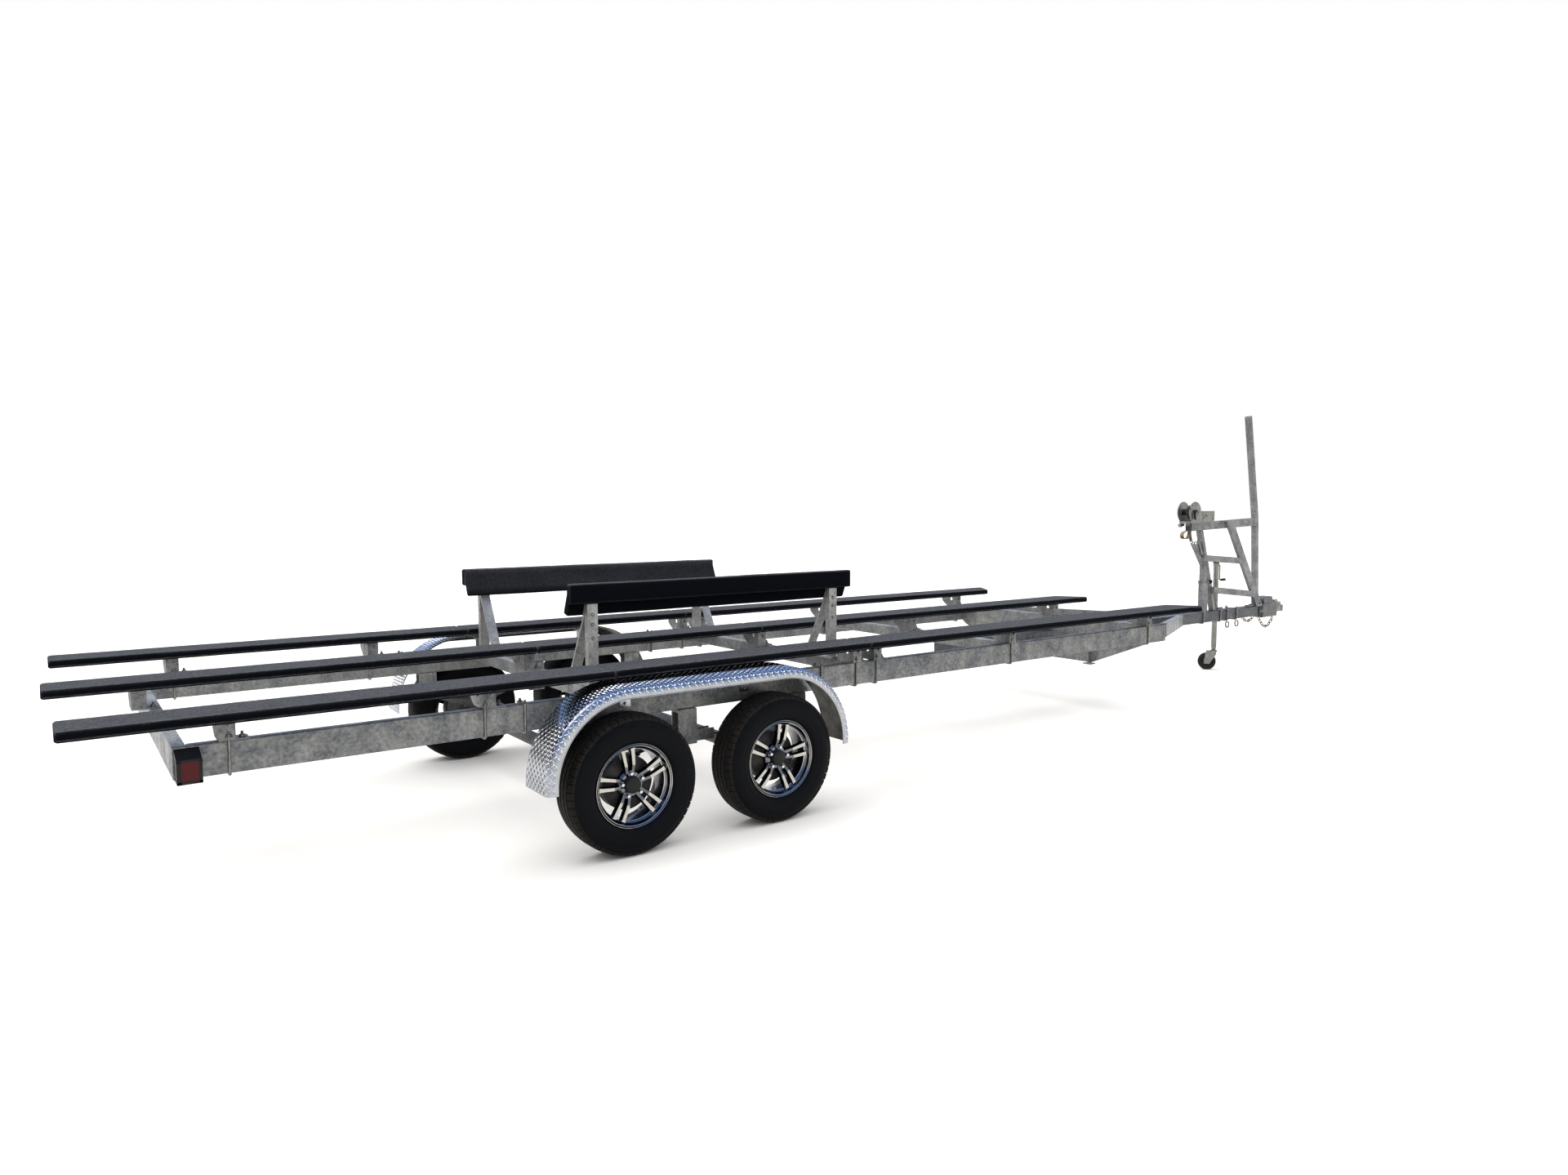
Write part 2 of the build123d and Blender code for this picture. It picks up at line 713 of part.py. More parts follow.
def front_leg():
    """Leg from the tongue to the arm, notched where it leans past the rear post."""
    leg = slab(under_arm(leg_foot_x, tongue_top, leg_top_x, leg_size), -leg_size / 2, leg_size / 2)
    return leg - sleeve_post()


def arm():
    """Winch arm from its rear end to the mast, as wide as the mast."""
    end_x = mast_bend_x
    outline = [(arm_rear, arm_low(arm_rear)), (end_x, arm_low(end_x)), (end_x, arm_top(end_x)),
               (arm_rear, arm_top(arm_rear))]
    beam = slab(outline, -mast_size / 2, mast_size / 2) - mast()
    return beam.solids().sort_by(Axis.X)[0]


def arm_cap():
    start_z = arm_top(arm_rear) - arm_size / 2
    return bar((arm_rear - cap_length, 0, start_z - cap_length * arm_slope), (arm_rear, 0, start_z),
               mast_size - 4, arm_size - 4)


def mast():
    """Upright from the tongue, leaning back a little more above the arm."""
    bend_z = arm_front_top
    lean = (mast_bend_x - mast_foot_x) / (bend_z - tongue_top)
    half = mast_size / 2 * math.hypot(1, lean)
    lower = slab([(mast_foot_x - half, tongue_top), (mast_foot_x + half, tongue_top),
                  (mast_bend_x + half, bend_z), (mast_bend_x - half, bend_z)], -mast_size / 2, mast_size / 2)
    upper = bar((mast_bend_x, 0, bend_z), (mast_top_x, 0, mast_top_z), mast_size, mast_size)
    knee = rod_y(mast_bend_x, bend_z, mast_size, -mast_size / 2, mast_size / 2)
    return lower + upper + knee


def brace_line(z):
    """X of the step brace's centre line at a height."""
    top_z = arm_low(brace_top_x)
    foot_x = mast_foot_x - 10
    return brace_top_x + (foot_x - brace_top_x) * (top_z - z) / (top_z - tongue_top)


def rung(setback, rear_z, front_z, inner, outer):
    """Step from behind the winch post to the brace."""
    half = rung_size / 2
    rear_x = sleeve_x + setback
    front_x = brace_line(front_z)
    return slab([(rear_x, rear_z - half), (front_x, front_z - half), (front_x, front_z + half),
                 (rear_x, rear_z + half)], inner, outer)


def step_frame():
    """Brace from the arm to the mast's foot, with the two steps behind it."""
    inner = -mast_size / 2
    top_z = arm_top(brace_top_x) - 8
    half = (brace_line(tongue_top) - brace_line(tongue_top + brace_size)) / 2 + brace_size / 2
    brace = slab([(brace_line(tongue_top) - half, tongue_top), (brace_line(tongue_top) + half, tongue_top),
                  (brace_line(top_z) + half, top_z), (brace_line(top_z) - half, top_z)],
                 inner, inner - brace_size / 2)
    outer = inner - rung_thick
    upper = rung(upper_rung_setback, upper_rung_rear_z, upper_rung_front_z, inner, outer)
    lower = rung(lower_rung_setback, lower_rung_rear_z, lower_rung_front_z, inner, outer)
    return brace + upper + lower - sleeve_post()


# ----------------------------------------------------------------------- winch
winch_axis_z = arm_top(winch_x) + winch_axis_lift


def winch_frame():
    """Base with two cheek plates."""
    half = winch_width / 2
    rear = winch_x - winch_cheek_dia * 0.3
    front = rear + winch_base_length
    base_z = arm_top(front) + winch_base_lift
    pieces = block(rear, front, -half, half, base_z, base_z + winch_cheek)
    for end in (-1, 1):
        y0 = end * half
        y1 = end * (half - winch_cheek)
        pieces += rod_y(winch_x, winch_axis_z, winch_cheek_dia, y0, y1) - \
            block(winch_x - 200, winch_x + 200, -200, 200, 0, base_z)
        pieces += block(rear, front, y0, y1, base_z, base_z + winch_side_height)
    pad = bar((rear, 0, arm_top(rear)), (front, 0, arm_top(front)), winch_width, winch_base_pad)
    cut = slab([(rear - 10, arm_top(rear - 10)), (front + 10, arm_top(front + 10)),
                (front + 10, arm_low(front)), (rear - 10, arm_low(front))], -winch_width, winch_width)
    ceiling = block(rear - 50, front + 50, -100, 100, base_z + winch_cheek, base_z + 100)
    return pieces + (pad - cut - ceiling)


def winch_drum():
    """Strap coil on its shaft, with the crank on the left."""
    half = winch_width / 2 - winch_cheek - seat_gap
    coil = rod_y(winch_x, winch_axis_z, strap_coil_dia, -half, half)
    return coil


def winch_crank():
    half = winch_width / 2
    shaft = rod_y(winch_x, winch_axis_z, crank_bar, half, half + 34)
    angle = math.radians(275)
    tip_x = winch_x + crank_length * math.cos(angle)
    tip_z = winch_axis_z + crank_length * math.sin(angle)
    arm_bar = bar((winch_x, half + 27, winch_axis_z), (tip_x, half + 27, tip_z), 10, 24)
    grip = rod_y(tip_x, tip_z, crank_grip_dia, half + 22, half + 22 + crank_grip_length)
    return shaft + arm_bar + grip


# ------------------------------------------------------------------------ jack
jack_y = tongue_width / 2 + jack_side_gap + jack_tube_dia / 2


def jack_sleeve():
    """Outer tube with its cap, and the pad that bolts it to the tongue."""
    tube = rod_z(jack_x, jack_y, jack_tube_dia, jack_sleeve_low, jack_top)
    cap = rod_z(jack_x, jack_y, jack_tube_dia + 8, jack_top - 30, jack_top + jack_cap)
    pad = block(jack_x - jack_pad / 2, jack_x + jack_pad / 2, tongue_width / 2, jack_y - jack_tube_dia / 2 + 3,
                tongue_bottom - 10, tongue_top + 14)
    bore = rod_z(jack_x, jack_y, jack_inner_dia + 2 * pin_clear, jack_sleeve_low - 1, jack_top - 60)
    return tube + cap + pad - bore


def jack_crank():
    z = jack_top - 22
    x0 = jack_x + jack_tube_dia / 2 + 4 + seat_gap
    x1 = x0 + jack_crank_reach
    out = bar((x0, jack_y, z), (x1, jack_y, z), 14, 14)
    drop = bar((x1 - 7, jack_y, z + 7), (x1 - 7, jack_y, z - jack_crank_drop), 14, 14)
    grip = bar((x1 - 14, jack_y, z - jack_crank_drop), (x1 + 96, jack_y, z - jack_crank_drop - 2), 26, 26)
    return out + drop + grip


def jack_leg():
    """Inner tube that the screw drives, down to the caster's head."""
    return rod_z(jack_x, jack_y, jack_inner_dia, fork_top, jack_top - 90)


def parked(piece):
    """Turn a caster piece, made trailing straight back, to where it was left."""
    return Pos(jack_x, jack_y, 0) * Rot(0, 0, caster_turn) * Pos(-jack_x, -jack_y, 0) * piece


def caster_fork():
    half = caster_width / 2 + fork_gap
    wheel_x = jack_x - caster_trail
    crown = rod_z(jack_x, jack_y, jack_tube_dia + 18, fork_top - fork_crown, fork_top - seat_gap)
    bridge = block(wheel_x - 6, jack_x + 26, jack_y - half - fork_plate, jack_y + half + fork_plate,
                   fork_top - fork_crown, fork_top - fork_crown / 2)
    fork = crown + bridge
    for end in (-1, 1):
        y0 = jack_y + end * half
        y1 = jack_y + end * (half + fork_plate)
        fork += slab([(wheel_x - 26, caster_dia / 2 - 24), (wheel_x + 26, caster_dia / 2 - 24),
                      (jack_x + 26, fork_top - 40), (jack_x + 26, fork_top - fork_crown / 2),
                      (wheel_x - 6, fork_top - fork_crown / 2), (wheel_x - 26, caster_dia / 2 + 20)], y0, y1)
        fork += rod_y(wheel_x, caster_dia / 2, caster_pin_dia + 10, y0, y1 + end * 6)
    fork += rod_y(wheel_x, caster_dia / 2, caster_pin_dia, jack_y - half, jack_y + half)
    return parked(fork)


def caster_wheel():
    wheel_x = jack_x - caster_trail
    half = caster_width / 2
    outer = caster_dia / 2
    ring = wheel_section([
        (-half + 6, caster_pin_dia / 2 + pin_clear), (-half + 6, outer - 30), (-half, outer - 26),
        (-half, outer - 8), (-half + 8, outer), (half - 8, outer), (half, outer - 8),
        (half, outer - 26), (half - 6, outer - 30), (half - 6, caster_pin_dia / 2 + pin_clear),
    ])
    return parked(Pos(wheel_x, jack_y, outer) * ring)


# --------------------------------------------------------------------- coupler
def actuator():
    """Brake actuator case on the tongue's front end."""
    x0 = actuator_rear
    x1 = x0 + actuator_length
    mid_z = tongue_top - tongue_height / 2
    half = actuator_width / 2
    case = block(x0, x1, -half, half, mid_z - actuator_height / 2, mid_z + actuator_height / 2)
    case = fillet(case.edges().filter_by(Axis.X), 14)
    dome_x0 = tongue_front
    dome_x1 = dome_x0 + actuator_dome_length
    dome_top = mid_z + actuator_height / 2 + actuator_dome
    dome = block(dome_x0, dome_x1, -half * 0.82, half * 0.82, mid_z, dome_top)
    dome = fillet(dome.edges().filter_by(Axis.Y).group_by(Axis.Z)[-1], 34)
    case += dome
    return case - block(x0 - 1, tongue_front, -tongue_width / 2, tongue_width / 2, tongue_bottom, tongue_top)


def coupler():
    """Sliding coupler with a socket for the ball, open below."""
    mid_z = tongue_top - tongue_height / 2
    x0 = actuator_rear + actuator_length
    half = coupler_width / 2
    low = mid_z - coupler_height / 2
    body = block(x0, coupler_axis_x, -half * 0.8, half * 0.8, low, low + coupler_height)
    head = rod_z(coupler_axis_x, 0, 2 * (nose_x - coupler_axis_x), low, low + coupler_height)
    body = body + head
    ball_z = low + ball_dia * 0.42
    socket = Pos(coupler_axis_x, 0, ball_z) * Sphere(ball_dia / 2 + 0.6)
    mouth = rod_z(coupler_axis_x, 0, ball_dia + 1.2, low - 1, ball_z)
    return body - socket - mouth


def latch():
    """Lever over the coupler's head."""
    mid_z = tongue_top - tongue_height / 2
    top = mid_z + coupler_height / 2
    x1 = coupler_axis_x + 10
    x0 = x1 - latch_length
    lever = block(x0, x1, -16, 16, top, top + latch_height)
    return lever + block(x0, x0 + 60, -12, 12, top + latch_height, top + latch_height + 26)


def chain_link():
    """Stadium link in the XZ plane, long way along X."""
    radius = (chain_link_width - chain_wire) / 2
    half = (chain_link_length - chain_wire) / 2 - radius
    path = Wire([
        Edge.make_line((-half, 0, radius), (half, 0, radius)),
        Edge.make_three_point_arc((half, 0, radius), (half + radius, 0, 0), (half, 0, -radius)),
        Edge.make_line((half, 0, -radius), (-half, 0, -radius)),
        Edge.make_three_point_arc((-half, 0, -radius), (-half - radius, 0, 0), (-half, 0, radius)),
    ])
    return sweep(Plane(origin=(0, 0, radius), z_dir=(1, 0, 0)) * Circle(chain_wire / 2), path=path)


def chain_loop(y, start, end, sag):
    """Chain hanging between two (x, z) points, its links joined where they bear."""
    link = chain_link()
    pitch = chain_link_length - 2 * chain_wire + chain_bite
    span = end[0] - start[0]
    samples = 400
    points = []
    for index in range(samples + 1):
        t = index / samples
        z = start[1] + (end[1] - start[1]) * t - sag * 4 * t * (1 - t)
        points.append((start[0] + span * t, z))
    centres = []
    along = pitch / 2
    walked = 0.0
    for first, second in zip(points, points[1:]):
        step = math.dist(first, second)
        walked += step
        if walked >= along:
            tilt = math.degrees(math.atan2(second[1] - first[1], second[0] - first[0]))
            centres.append((second[0], second[1], tilt))
            along += pitch
    chain = None
    for index, (x, z, tilt) in enumerate(centres):
        piece = Pos(x, y, z) * Rot(0, -tilt, 0) * Rot(90 * (index % 2), 0, 0) * link
        chain = piece if chain is None else chain + piece
    return chain


def safety_chains():
    """Two chains from the middle of the tongue's underside, one looped forward and one back."""
    tongue_z = tongue_bottom - seat_gap - chain_link_width / 2
    case_z = tongue_z + tongue_height / 2 - actuator_height / 2
    anchor = (chain_anchor_x, tongue_z)
    forward = chain_loop(-chain_side, anchor, (chain_anchor_x + chain_forward, case_z), chain_forward_sag)
    back_z = tongue_z + chain_back_lift
    back_end = (chain_anchor_x - chain_back, back_z)
    back = chain_loop(chain_side, (chain_anchor_x, back_z), back_end, chain_back_sag)
    return [forward, back]


# --------------------------------------------------------------------- writing
def write(name, pieces):
    """One STEP file for a node; several pieces go in as separate solids."""
    solids = []
    for piece in pieces if isinstance(pieces, (list, tuple)) else [pieces]:
        solids += piece.solids()
    shape = solids[0] if len(solids) == 1 else Compound(children=solids)
    export_step(Pos(-middle_x, 0, 0) * shape, f"parts/{name}.step")


def main():
    os.makedirs("parts", exist_ok=True)
    for side_name, side in sides.items():
        for end_name, x in wheels.items():
            write(f"tyre_{end_name}_{side_name}", place_wheel(tyre(), x, side))
            write(f"rim_{end_name}_{side_name}", place_wheel(rim(), x, side))
            write(f"hub_{end_name}_{side_name}", place_wheel(hub(), x, side))
        write(f"side_rail_{side_name}", rail(side))
        write(f"drawbar_brace_{side_name}", drawbar_brace(side))
        springs = [leaf_spring(x, side) for x in wheels.values()]
        write(f"leaf_springs_{side_name}", springs)
        write(f"spring_hangers_{side_name}", hangers(side))
        write(f"fender_{side_name}", fender(side))
        housing, lens = tail_lamp(side)
        write(f"tail_lamp_{side_name}", housing)
        write(f"lamp_lens_{side_name}", lens)
        write(f"guide_board_{side_name}", guide_board(side))
        write(f"guide_posts_{side_name}", guide_posts(side))
        y = side * bunk_spacing
        write(f"bunk_{side_name}", bunk(y, side_bunk_rear, side_bunk_front, side_bunk_joints, -side))
        near = side * rail_middle - tube_width / 2 - bracket_overhang
        write(f"bunk_brackets_{side_name}", [bracket(x, near) for x in side_brackets])
    write("bunk_centre", bunk(0, centre_bunk_rear, centre_bunk_front, centre_bunk_joints, 1))
    near = -bracket_width / 2
    write("bunk_brackets_centre", [bracket(x, near) for x in centre_brackets])
    for end_name, x in wheels.items():
        write(f"axle_{end_name}", axle(x))
    write("crossmember_rear", rear_crossmember())
    write("crossmembers_middle", [crossmember(x, rail_top - cross_height) for x in cross_stations])
    write("crossmember_front", crossmember(front_cross, rail_bottom))
    write("crossmember_drop", drop_crossmember())
    write("tongue", tongue())
    write("winch_post", sleeve_post())
    write("winch_leg", front_leg())
    write("winch_arm", [arm(), arm_cap()])
    write("step_frame", step_frame())
    write("mast", mast())
    write("winch_frame", winch_frame())
    write("winch_drum", winch_drum())
    write("winch_crank", winch_crank())
    write("jack_sleeve", jack_sleeve())
    write("jack_crank", jack_crank())
    write("jack_leg", jack_leg())
    write("caster_fork", caster_fork())
    write("caster_wheel", caster_wheel())
    write("brake_actuator", actuator())
    write("coupler", coupler())
    write("coupler_latch", latch())
    write("safety_chains", safety_chains())


main()
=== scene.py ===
# %% [markdown]
# # A tandem boat trailer, dressed
# The steel frame, the axles and everything that moves come from the packed model, and stay where
# they are. This file gives each of those pieces its finish, and makes the pieces whose look needs
# real shape: tyres with tread, cast wheels, carpeted boards, raised tread plate, bolts and U-bolts.

# %% Load the packed model as a fixed frame
import json
import math

import bmesh
import bpy
from mathutils import Matrix, Vector, noise


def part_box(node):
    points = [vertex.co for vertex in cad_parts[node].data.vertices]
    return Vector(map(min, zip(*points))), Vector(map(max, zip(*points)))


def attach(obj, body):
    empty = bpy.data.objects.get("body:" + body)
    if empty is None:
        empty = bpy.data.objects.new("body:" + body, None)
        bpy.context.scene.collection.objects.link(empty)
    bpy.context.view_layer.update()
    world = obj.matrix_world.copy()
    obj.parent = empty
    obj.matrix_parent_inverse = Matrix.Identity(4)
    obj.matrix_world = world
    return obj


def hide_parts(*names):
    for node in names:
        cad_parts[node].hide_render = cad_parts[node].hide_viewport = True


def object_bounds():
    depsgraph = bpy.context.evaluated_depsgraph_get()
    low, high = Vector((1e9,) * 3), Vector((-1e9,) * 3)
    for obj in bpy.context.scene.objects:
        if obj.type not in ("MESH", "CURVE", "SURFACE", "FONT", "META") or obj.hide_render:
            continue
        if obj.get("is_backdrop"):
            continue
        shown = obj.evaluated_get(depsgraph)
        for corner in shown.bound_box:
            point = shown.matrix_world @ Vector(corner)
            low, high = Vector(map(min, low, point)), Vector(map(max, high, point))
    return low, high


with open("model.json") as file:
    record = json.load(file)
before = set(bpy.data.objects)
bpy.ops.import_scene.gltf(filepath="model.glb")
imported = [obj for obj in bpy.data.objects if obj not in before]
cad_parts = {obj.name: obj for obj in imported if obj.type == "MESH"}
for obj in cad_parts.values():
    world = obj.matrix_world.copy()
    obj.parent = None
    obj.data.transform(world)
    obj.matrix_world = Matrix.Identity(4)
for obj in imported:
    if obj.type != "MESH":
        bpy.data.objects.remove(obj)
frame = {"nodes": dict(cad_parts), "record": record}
cad_low, cad_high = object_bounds()
nodes = frame["nodes"]
sides = {"left": 1, "right": -1}
ends = ("rear", "front")
print(len(nodes), "nodes, box", [round(b - a, 3) for a, b in zip(cad_low, cad_high)])

# %% [markdown]
# Everything on a trailer is measured from its axles, so stations along it are given from the rear
# axle. The axle's own place is read from the hinge that the wheels turn on.

# %% Measure from the rear axle
record_joints = {joint["name"]: joint for joint in frame["record"]["behaviour"]["joints"]}
rear_hub = Vector(record_joints["wheel_rear_left_spin"]["pos_m"])
front_hub = Vector(record_joints["wheel_front_left_spin"]["pos_m"])
axle_x = rear_hub.x


def at(x, y, z):
    """Point x metres ahead of the rear axle, y to the left of the centreline and z above the floor."""
    return Vector((axle_x + x, y, z))


def node_box(name):
    low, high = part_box(name)
    return Vector(low), Vector(high)


print("axle gap", round(front_hub.x - rear_hub.x, 3))

# %% [markdown]
# ## Camera
# The camera stands off the rear right corner at a little over head height, and looks slightly
# down along the trailer, so that the near wheels are large and the coupler is far away. Its matrix
# is built from three angles, which is easier to adjust than a look-at point.

# %% Camera
camera_place = at(-2.2474, -5.5065, 1.6845)
camera_turn = math.radians(36.49)       # from straight across the trailer towards its front
camera_dip = math.radians(4.643)
camera_roll = math.radians(-0.18)
camera_lens = 23.13                     # on a sensor 36 mm wide

forward = Vector((math.sin(camera_turn) * math.cos(camera_dip),
                  math.cos(camera_turn) * math.cos(camera_dip), -math.sin(camera_dip)))
level = Vector((math.cos(camera_turn), -math.sin(camera_turn), 0))
upward = level.cross(forward)
right = level * math.cos(camera_roll) + upward * math.sin(camera_roll)
upward = upward * math.cos(camera_roll) - level * math.sin(camera_roll)
camera_data = bpy.data.cameras.new("camera")
camera_data.lens = camera_lens
camera_data.sensor_width = 36
camera_data.sensor_fit = "HORIZONTAL"
camera_data.clip_end = 200
camera = bpy.data.objects.new("camera", camera_data)
camera.matrix_world = Matrix.Translation(camera_place) @ Matrix((right, upward, -forward)).transposed().to_4x4()
bpy.context.scene.collection.objects.link(camera)
bpy.context.scene.camera = camera
bpy.context.scene.view_settings.view_transform = "Standard"
print("camera at", [round(c, 3) for c in camera_place])

# %% [markdown]
# ## Shader groups
# Zinc, rubber, carpet and cast metal all vary over their surface in a few common ways. A painted
# image would do it too, but noise that follows the piece's own place needs no unwrapping and never
# stretches. Each way is a node group with named inputs, so that a material only says how strong
# and how large it is.

# %% Helpers for shader trees
def new_group(name, inputs, outputs):
    """Node group with number inputs {name: value} and number outputs."""
    group = bpy.data.node_groups.new(name, "ShaderNodeTree")
    for label, value in inputs.items():
        socket = group.interface.new_socket(label, in_out="INPUT", socket_type="NodeSocketFloat")
        socket.default_value = value
    for label in outputs:
        group.interface.new_socket(label, in_out="OUTPUT", socket_type="NodeSocketFloat")
    return group, group.nodes.new("NodeGroupInput").outputs, group.nodes.new("NodeGroupOutput").inputs


def put(tree, value, socket):
    """Feed an input from a node's first output, from a socket, or with a plain value."""
    if isinstance(value, bpy.types.Node):
        value = value.outputs[0]
    if isinstance(value, bpy.types.NodeSocket):
        tree.links.new(value, socket)
    else:
        socket.default_value = value


def add(tree, kind, links=None, **settings):
    """Node of a kind, with its inputs fed from a dict and its properties from the keywords."""
    node = tree.nodes.new(f"ShaderNode{kind}")
    for label, value in settings.items():
        setattr(node, label, value)
    for label, value in (links or {}).items():
        put(tree, value, node.inputs[label])
    return node


def maths(tree, operation, first, second, clamp=False):
    return add(tree, "Math", {0: first, 1: second}, operation=operation, use_clamp=clamp)


def remap(tree, value, low, high, to_low=0.0, to_high=1.0):
    """Carry a value from the range low to high over to another range."""
    return add(tree, "MapRange", {"Value": value, "From Min": low, "From Max": high, "To Min": to_low,
                                  "To Max": to_high})


def place_noise(tree, scale, detail, roughness=0.5):
    """Noise that is fixed to where a piece stands."""
    place = add(tree, "NewGeometry")
    return add(tree, "TexNoise", {"Vector": place, "Scale": scale, "Detail": detail, "Roughness": roughness})


def mixed(tree, factor, first, second):
    """Colour between two, each of them a node, a socket or a plain colour."""
    node = add(tree, "Mix", data_type="RGBA")
    for index, value in ((0, factor), (6, first), (7, second)):
        put(tree, (*value, 1) if isinstance(value, tuple) else value, node.inputs[index])
    return node.outputs[2]


# %% Patches: soft blotches at one scale with finer ones inside them
def make_patches():
    group, given, out = new_group("patches", {"Scale": 8.0, "Fine": 6.0, "Contrast": 0.5}, ("Mask", "Height"))
    large = place_noise(group, given["Scale"], 5.0, 0.62)
    small = place_noise(group, maths(group, "MULTIPLY", given["Scale"], given["Fine"]), 3.0, 0.7)
    centred = maths(group, "ADD", maths(group, "ADD", large, small), -1.0)
    spread = maths(group, "MULTIPLY", centred, given["Contrast"])
    put(group, maths(group, "ADD", spread, 0.5, True), out["Mask"])
    put(group, small, out["Height"])
    return group


# %% Worn edges and painted edge highlights: where the surface turns sharply it is made brighter
def make_edge_wear_and_highlight():
    group, given, out = new_group("edge_wear_and_highlight", {"Radius": 0.004, "Amount": 1.0}, ("Mask",))
    rounded = add(group, "Bevel", {"Radius": given["Radius"]}, samples=4)
    normal = add(group, "NewGeometry").outputs["Normal"]
    same = add(group, "VectorMath", {0: rounded, 1: normal}, operation="DOT_PRODUCT")
    turned = remap(group, same.outputs["Value"], 0.995, 0.85)
    rubbed = maths(group, "MULTIPLY", turned, place_noise(group, 45.0, 3.0))
    put(group, maths(group, "MULTIPLY", rubbed, given["Amount"], True), out["Mask"])
    return group


# %% Dust and painted light from above: a mask on what faces up
def make_dust():
    group, given, out = new_group("dust", {"Amount": 0.5, "Scale": 20.0}, ("Mask",))
    parts = add(group, "SeparateXYZ", {0: add(group, "NewGeometry").outputs["Normal"]})
    facing = remap(group, parts.outputs["Z"], 0.2, 0.95)
    broken = remap(group, place_noise(group, given["Scale"], 6.0, 0.7), 0.32, 0.68)
    both = maths(group, "MULTIPLY", facing, broken)
    put(group, maths(group, "MULTIPLY", both, given["Amount"], True), out["Mask"])
    return group


# %% Runs: long streaks where wet zinc drained off
def make_runs():
    group, given, out = new_group("runs", {"Amount": 0.35}, ("Mask",))
    stretch = add(group, "Mapping", {"Vector": add(group, "NewGeometry"), "Scale": (14, 14, 1.6)})
    streaks = add(group, "TexNoise", {"Vector": stretch, "Scale": 1.0, "Detail": 4.0})
    put(group, remap(group, streaks, 0.5, 0.72, 0.0, given["Amount"]), out["Mask"])
    return group


# %% Weave: slanting ribs of woven webbing
def make_weave():
    group, given, out = new_group("weave", {"Scale": 160.0, "Distortion": 0.4}, ("Mask",))
    waves = add(group, "TexWave", {"Vector": add(group, "NewGeometry"), "Scale": given["Scale"],
                                   "Distortion": given["Distortion"]}, bands_direction="DIAGONAL")
    put(group, waves.outputs["Fac"], out["Mask"])
    return group


patches, edge_wear_and_highlight, dust, runs, weave = make_patches(), make_edge_wear_and_highlight(), make_dust(), make_runs(), make_weave()
print("groups", [group.name for group in bpy.data.node_groups])


# %% Helpers for materials
def use(tree, group, **values):
    """Place a group in a tree and set its inputs. Its first output is its mask."""
    node = add(tree, "Group", node_tree=group)
    for label, value in values.items():
        node.inputs[label].default_value = value
    return node


looks = {}                              # every material by its name


def start_material(name, metallic=0.0, roughness=0.5, coat=0.0, shine=0.5):
    """New material in looks. Gives its tree and its shader's inputs."""
    looks[name] = material = bpy.data.materials.new(name)
    material.use_nodes = True
    tree = material.node_tree
    shader = tree.nodes["Principled BSDF"]
    for label, value in (("Metallic", metallic), ("Roughness", roughness), ("Coat Weight", coat),
                         ("Specular IOR Level", shine)):
        shader.inputs[label].default_value = value
    return tree, shader.inputs


def set_bump(tree, given, height, distance, strength):
    put(tree, add(tree, "Bump", {"Height": height, "Distance": distance, "Strength": strength}), given["Normal"])


# %% [markdown]
# ## Galvanised steel
# Hot-dipped zinc is a pale warm grey with soft blotches, darker runs where it drained, and edges
# that are a little brighter. It is a metal, but a dull one: full metal would mirror the sky and look
# like chrome, so the metal share stays low. One function makes every steel of the trailer, from
# the pale guide posts to the dark springs, and only its colours and gloss change.

# %% Galvanised steel and its relations
def zinc(name, light, dark, roughness=0.46, metallic=0.55, scale=9.0, contrast=1.7):
    """Blotched metal with runs and bright edges; scale is that of the blotches."""
    tree, given = start_material(name, metallic, roughness)
    blotch = use(tree, patches, Scale=scale, Fine=7.0, Contrast=contrast)
    wear = use(tree, edge_wear_and_highlight, Radius=0.004, Amount=0.55)
    stained = mixed(tree, use(tree, runs, Amount=0.35), mixed(tree, blotch, dark, light),
                    tuple(0.62 * c for c in dark))
    put(tree, mixed(tree, wear, stained, tuple(min(1, 1.18 * c) for c in light)), given["Base Color"])
    put(tree, remap(tree, blotch, 0, 1, roughness + 0.12, roughness - 0.08), given["Roughness"])
    set_bump(tree, given, blotch.outputs["Height"], 0.0006, 0.5)


for row in (                            # name, light, dark, roughness, metal, scale, contrast
        ("galvanised", (0.385, 0.385, 0.365), (0.135, 0.145, 0.165), 0.46, 0.35, 9, 2.1),
        ("zinc_plate", (0.36, 0.355, 0.33), (0.16, 0.158, 0.145), 0.36, 0.6, 22),
        ("dark_steel", (0.17, 0.165, 0.16), (0.05, 0.05, 0.052), 0.55, 0.4),
        ("drum_steel", (0.060, 0.058, 0.055), (0.022, 0.021, 0.020), 0.6, 0.5, 30),
        ("tread_plate", (0.42, 0.425, 0.43), (0.29, 0.30, 0.32), 0.19, 1.0, 14, 1.0),
        # the sheet's plain back, dark and warm: painted shade under the fender and a painted warm reflection of the
        # ground
        ("tread_back", (0.15, 0.145, 0.13), (0.055, 0.053, 0.050), 0.45, 0.7, 20),
        ("tread_bar", (0.82, 0.82, 0.82), (0.60, 0.61, 0.62), 0.16, 1.0, 14, 1.0),
        ("bolt_zinc", (0.34, 0.335, 0.31), (0.12, 0.12, 0.115), 0.4, 0.7, 40),
        # darker copy of the galvanised zinc: shade painted into the tongue's colour
        ("zinc_painted_shade", (0.150, 0.155, 0.160), (0.052, 0.056, 0.066), 0.46, 0.35, 9, 2.1),
        ("zinc_pale", (0.47, 0.47, 0.455), (0.20, 0.205, 0.215), 0.46, 0.35, 9, 1.9),
        ("painted_grey", (0.205, 0.21, 0.215), (0.085, 0.085, 0.09), 0.42, 0.3, 18),
        ("chain_zinc", (0.40, 0.36, 0.26), (0.17, 0.15, 0.10), 0.34, 0.9, 60)):
    zinc(*row)
print(len(looks), "metals")
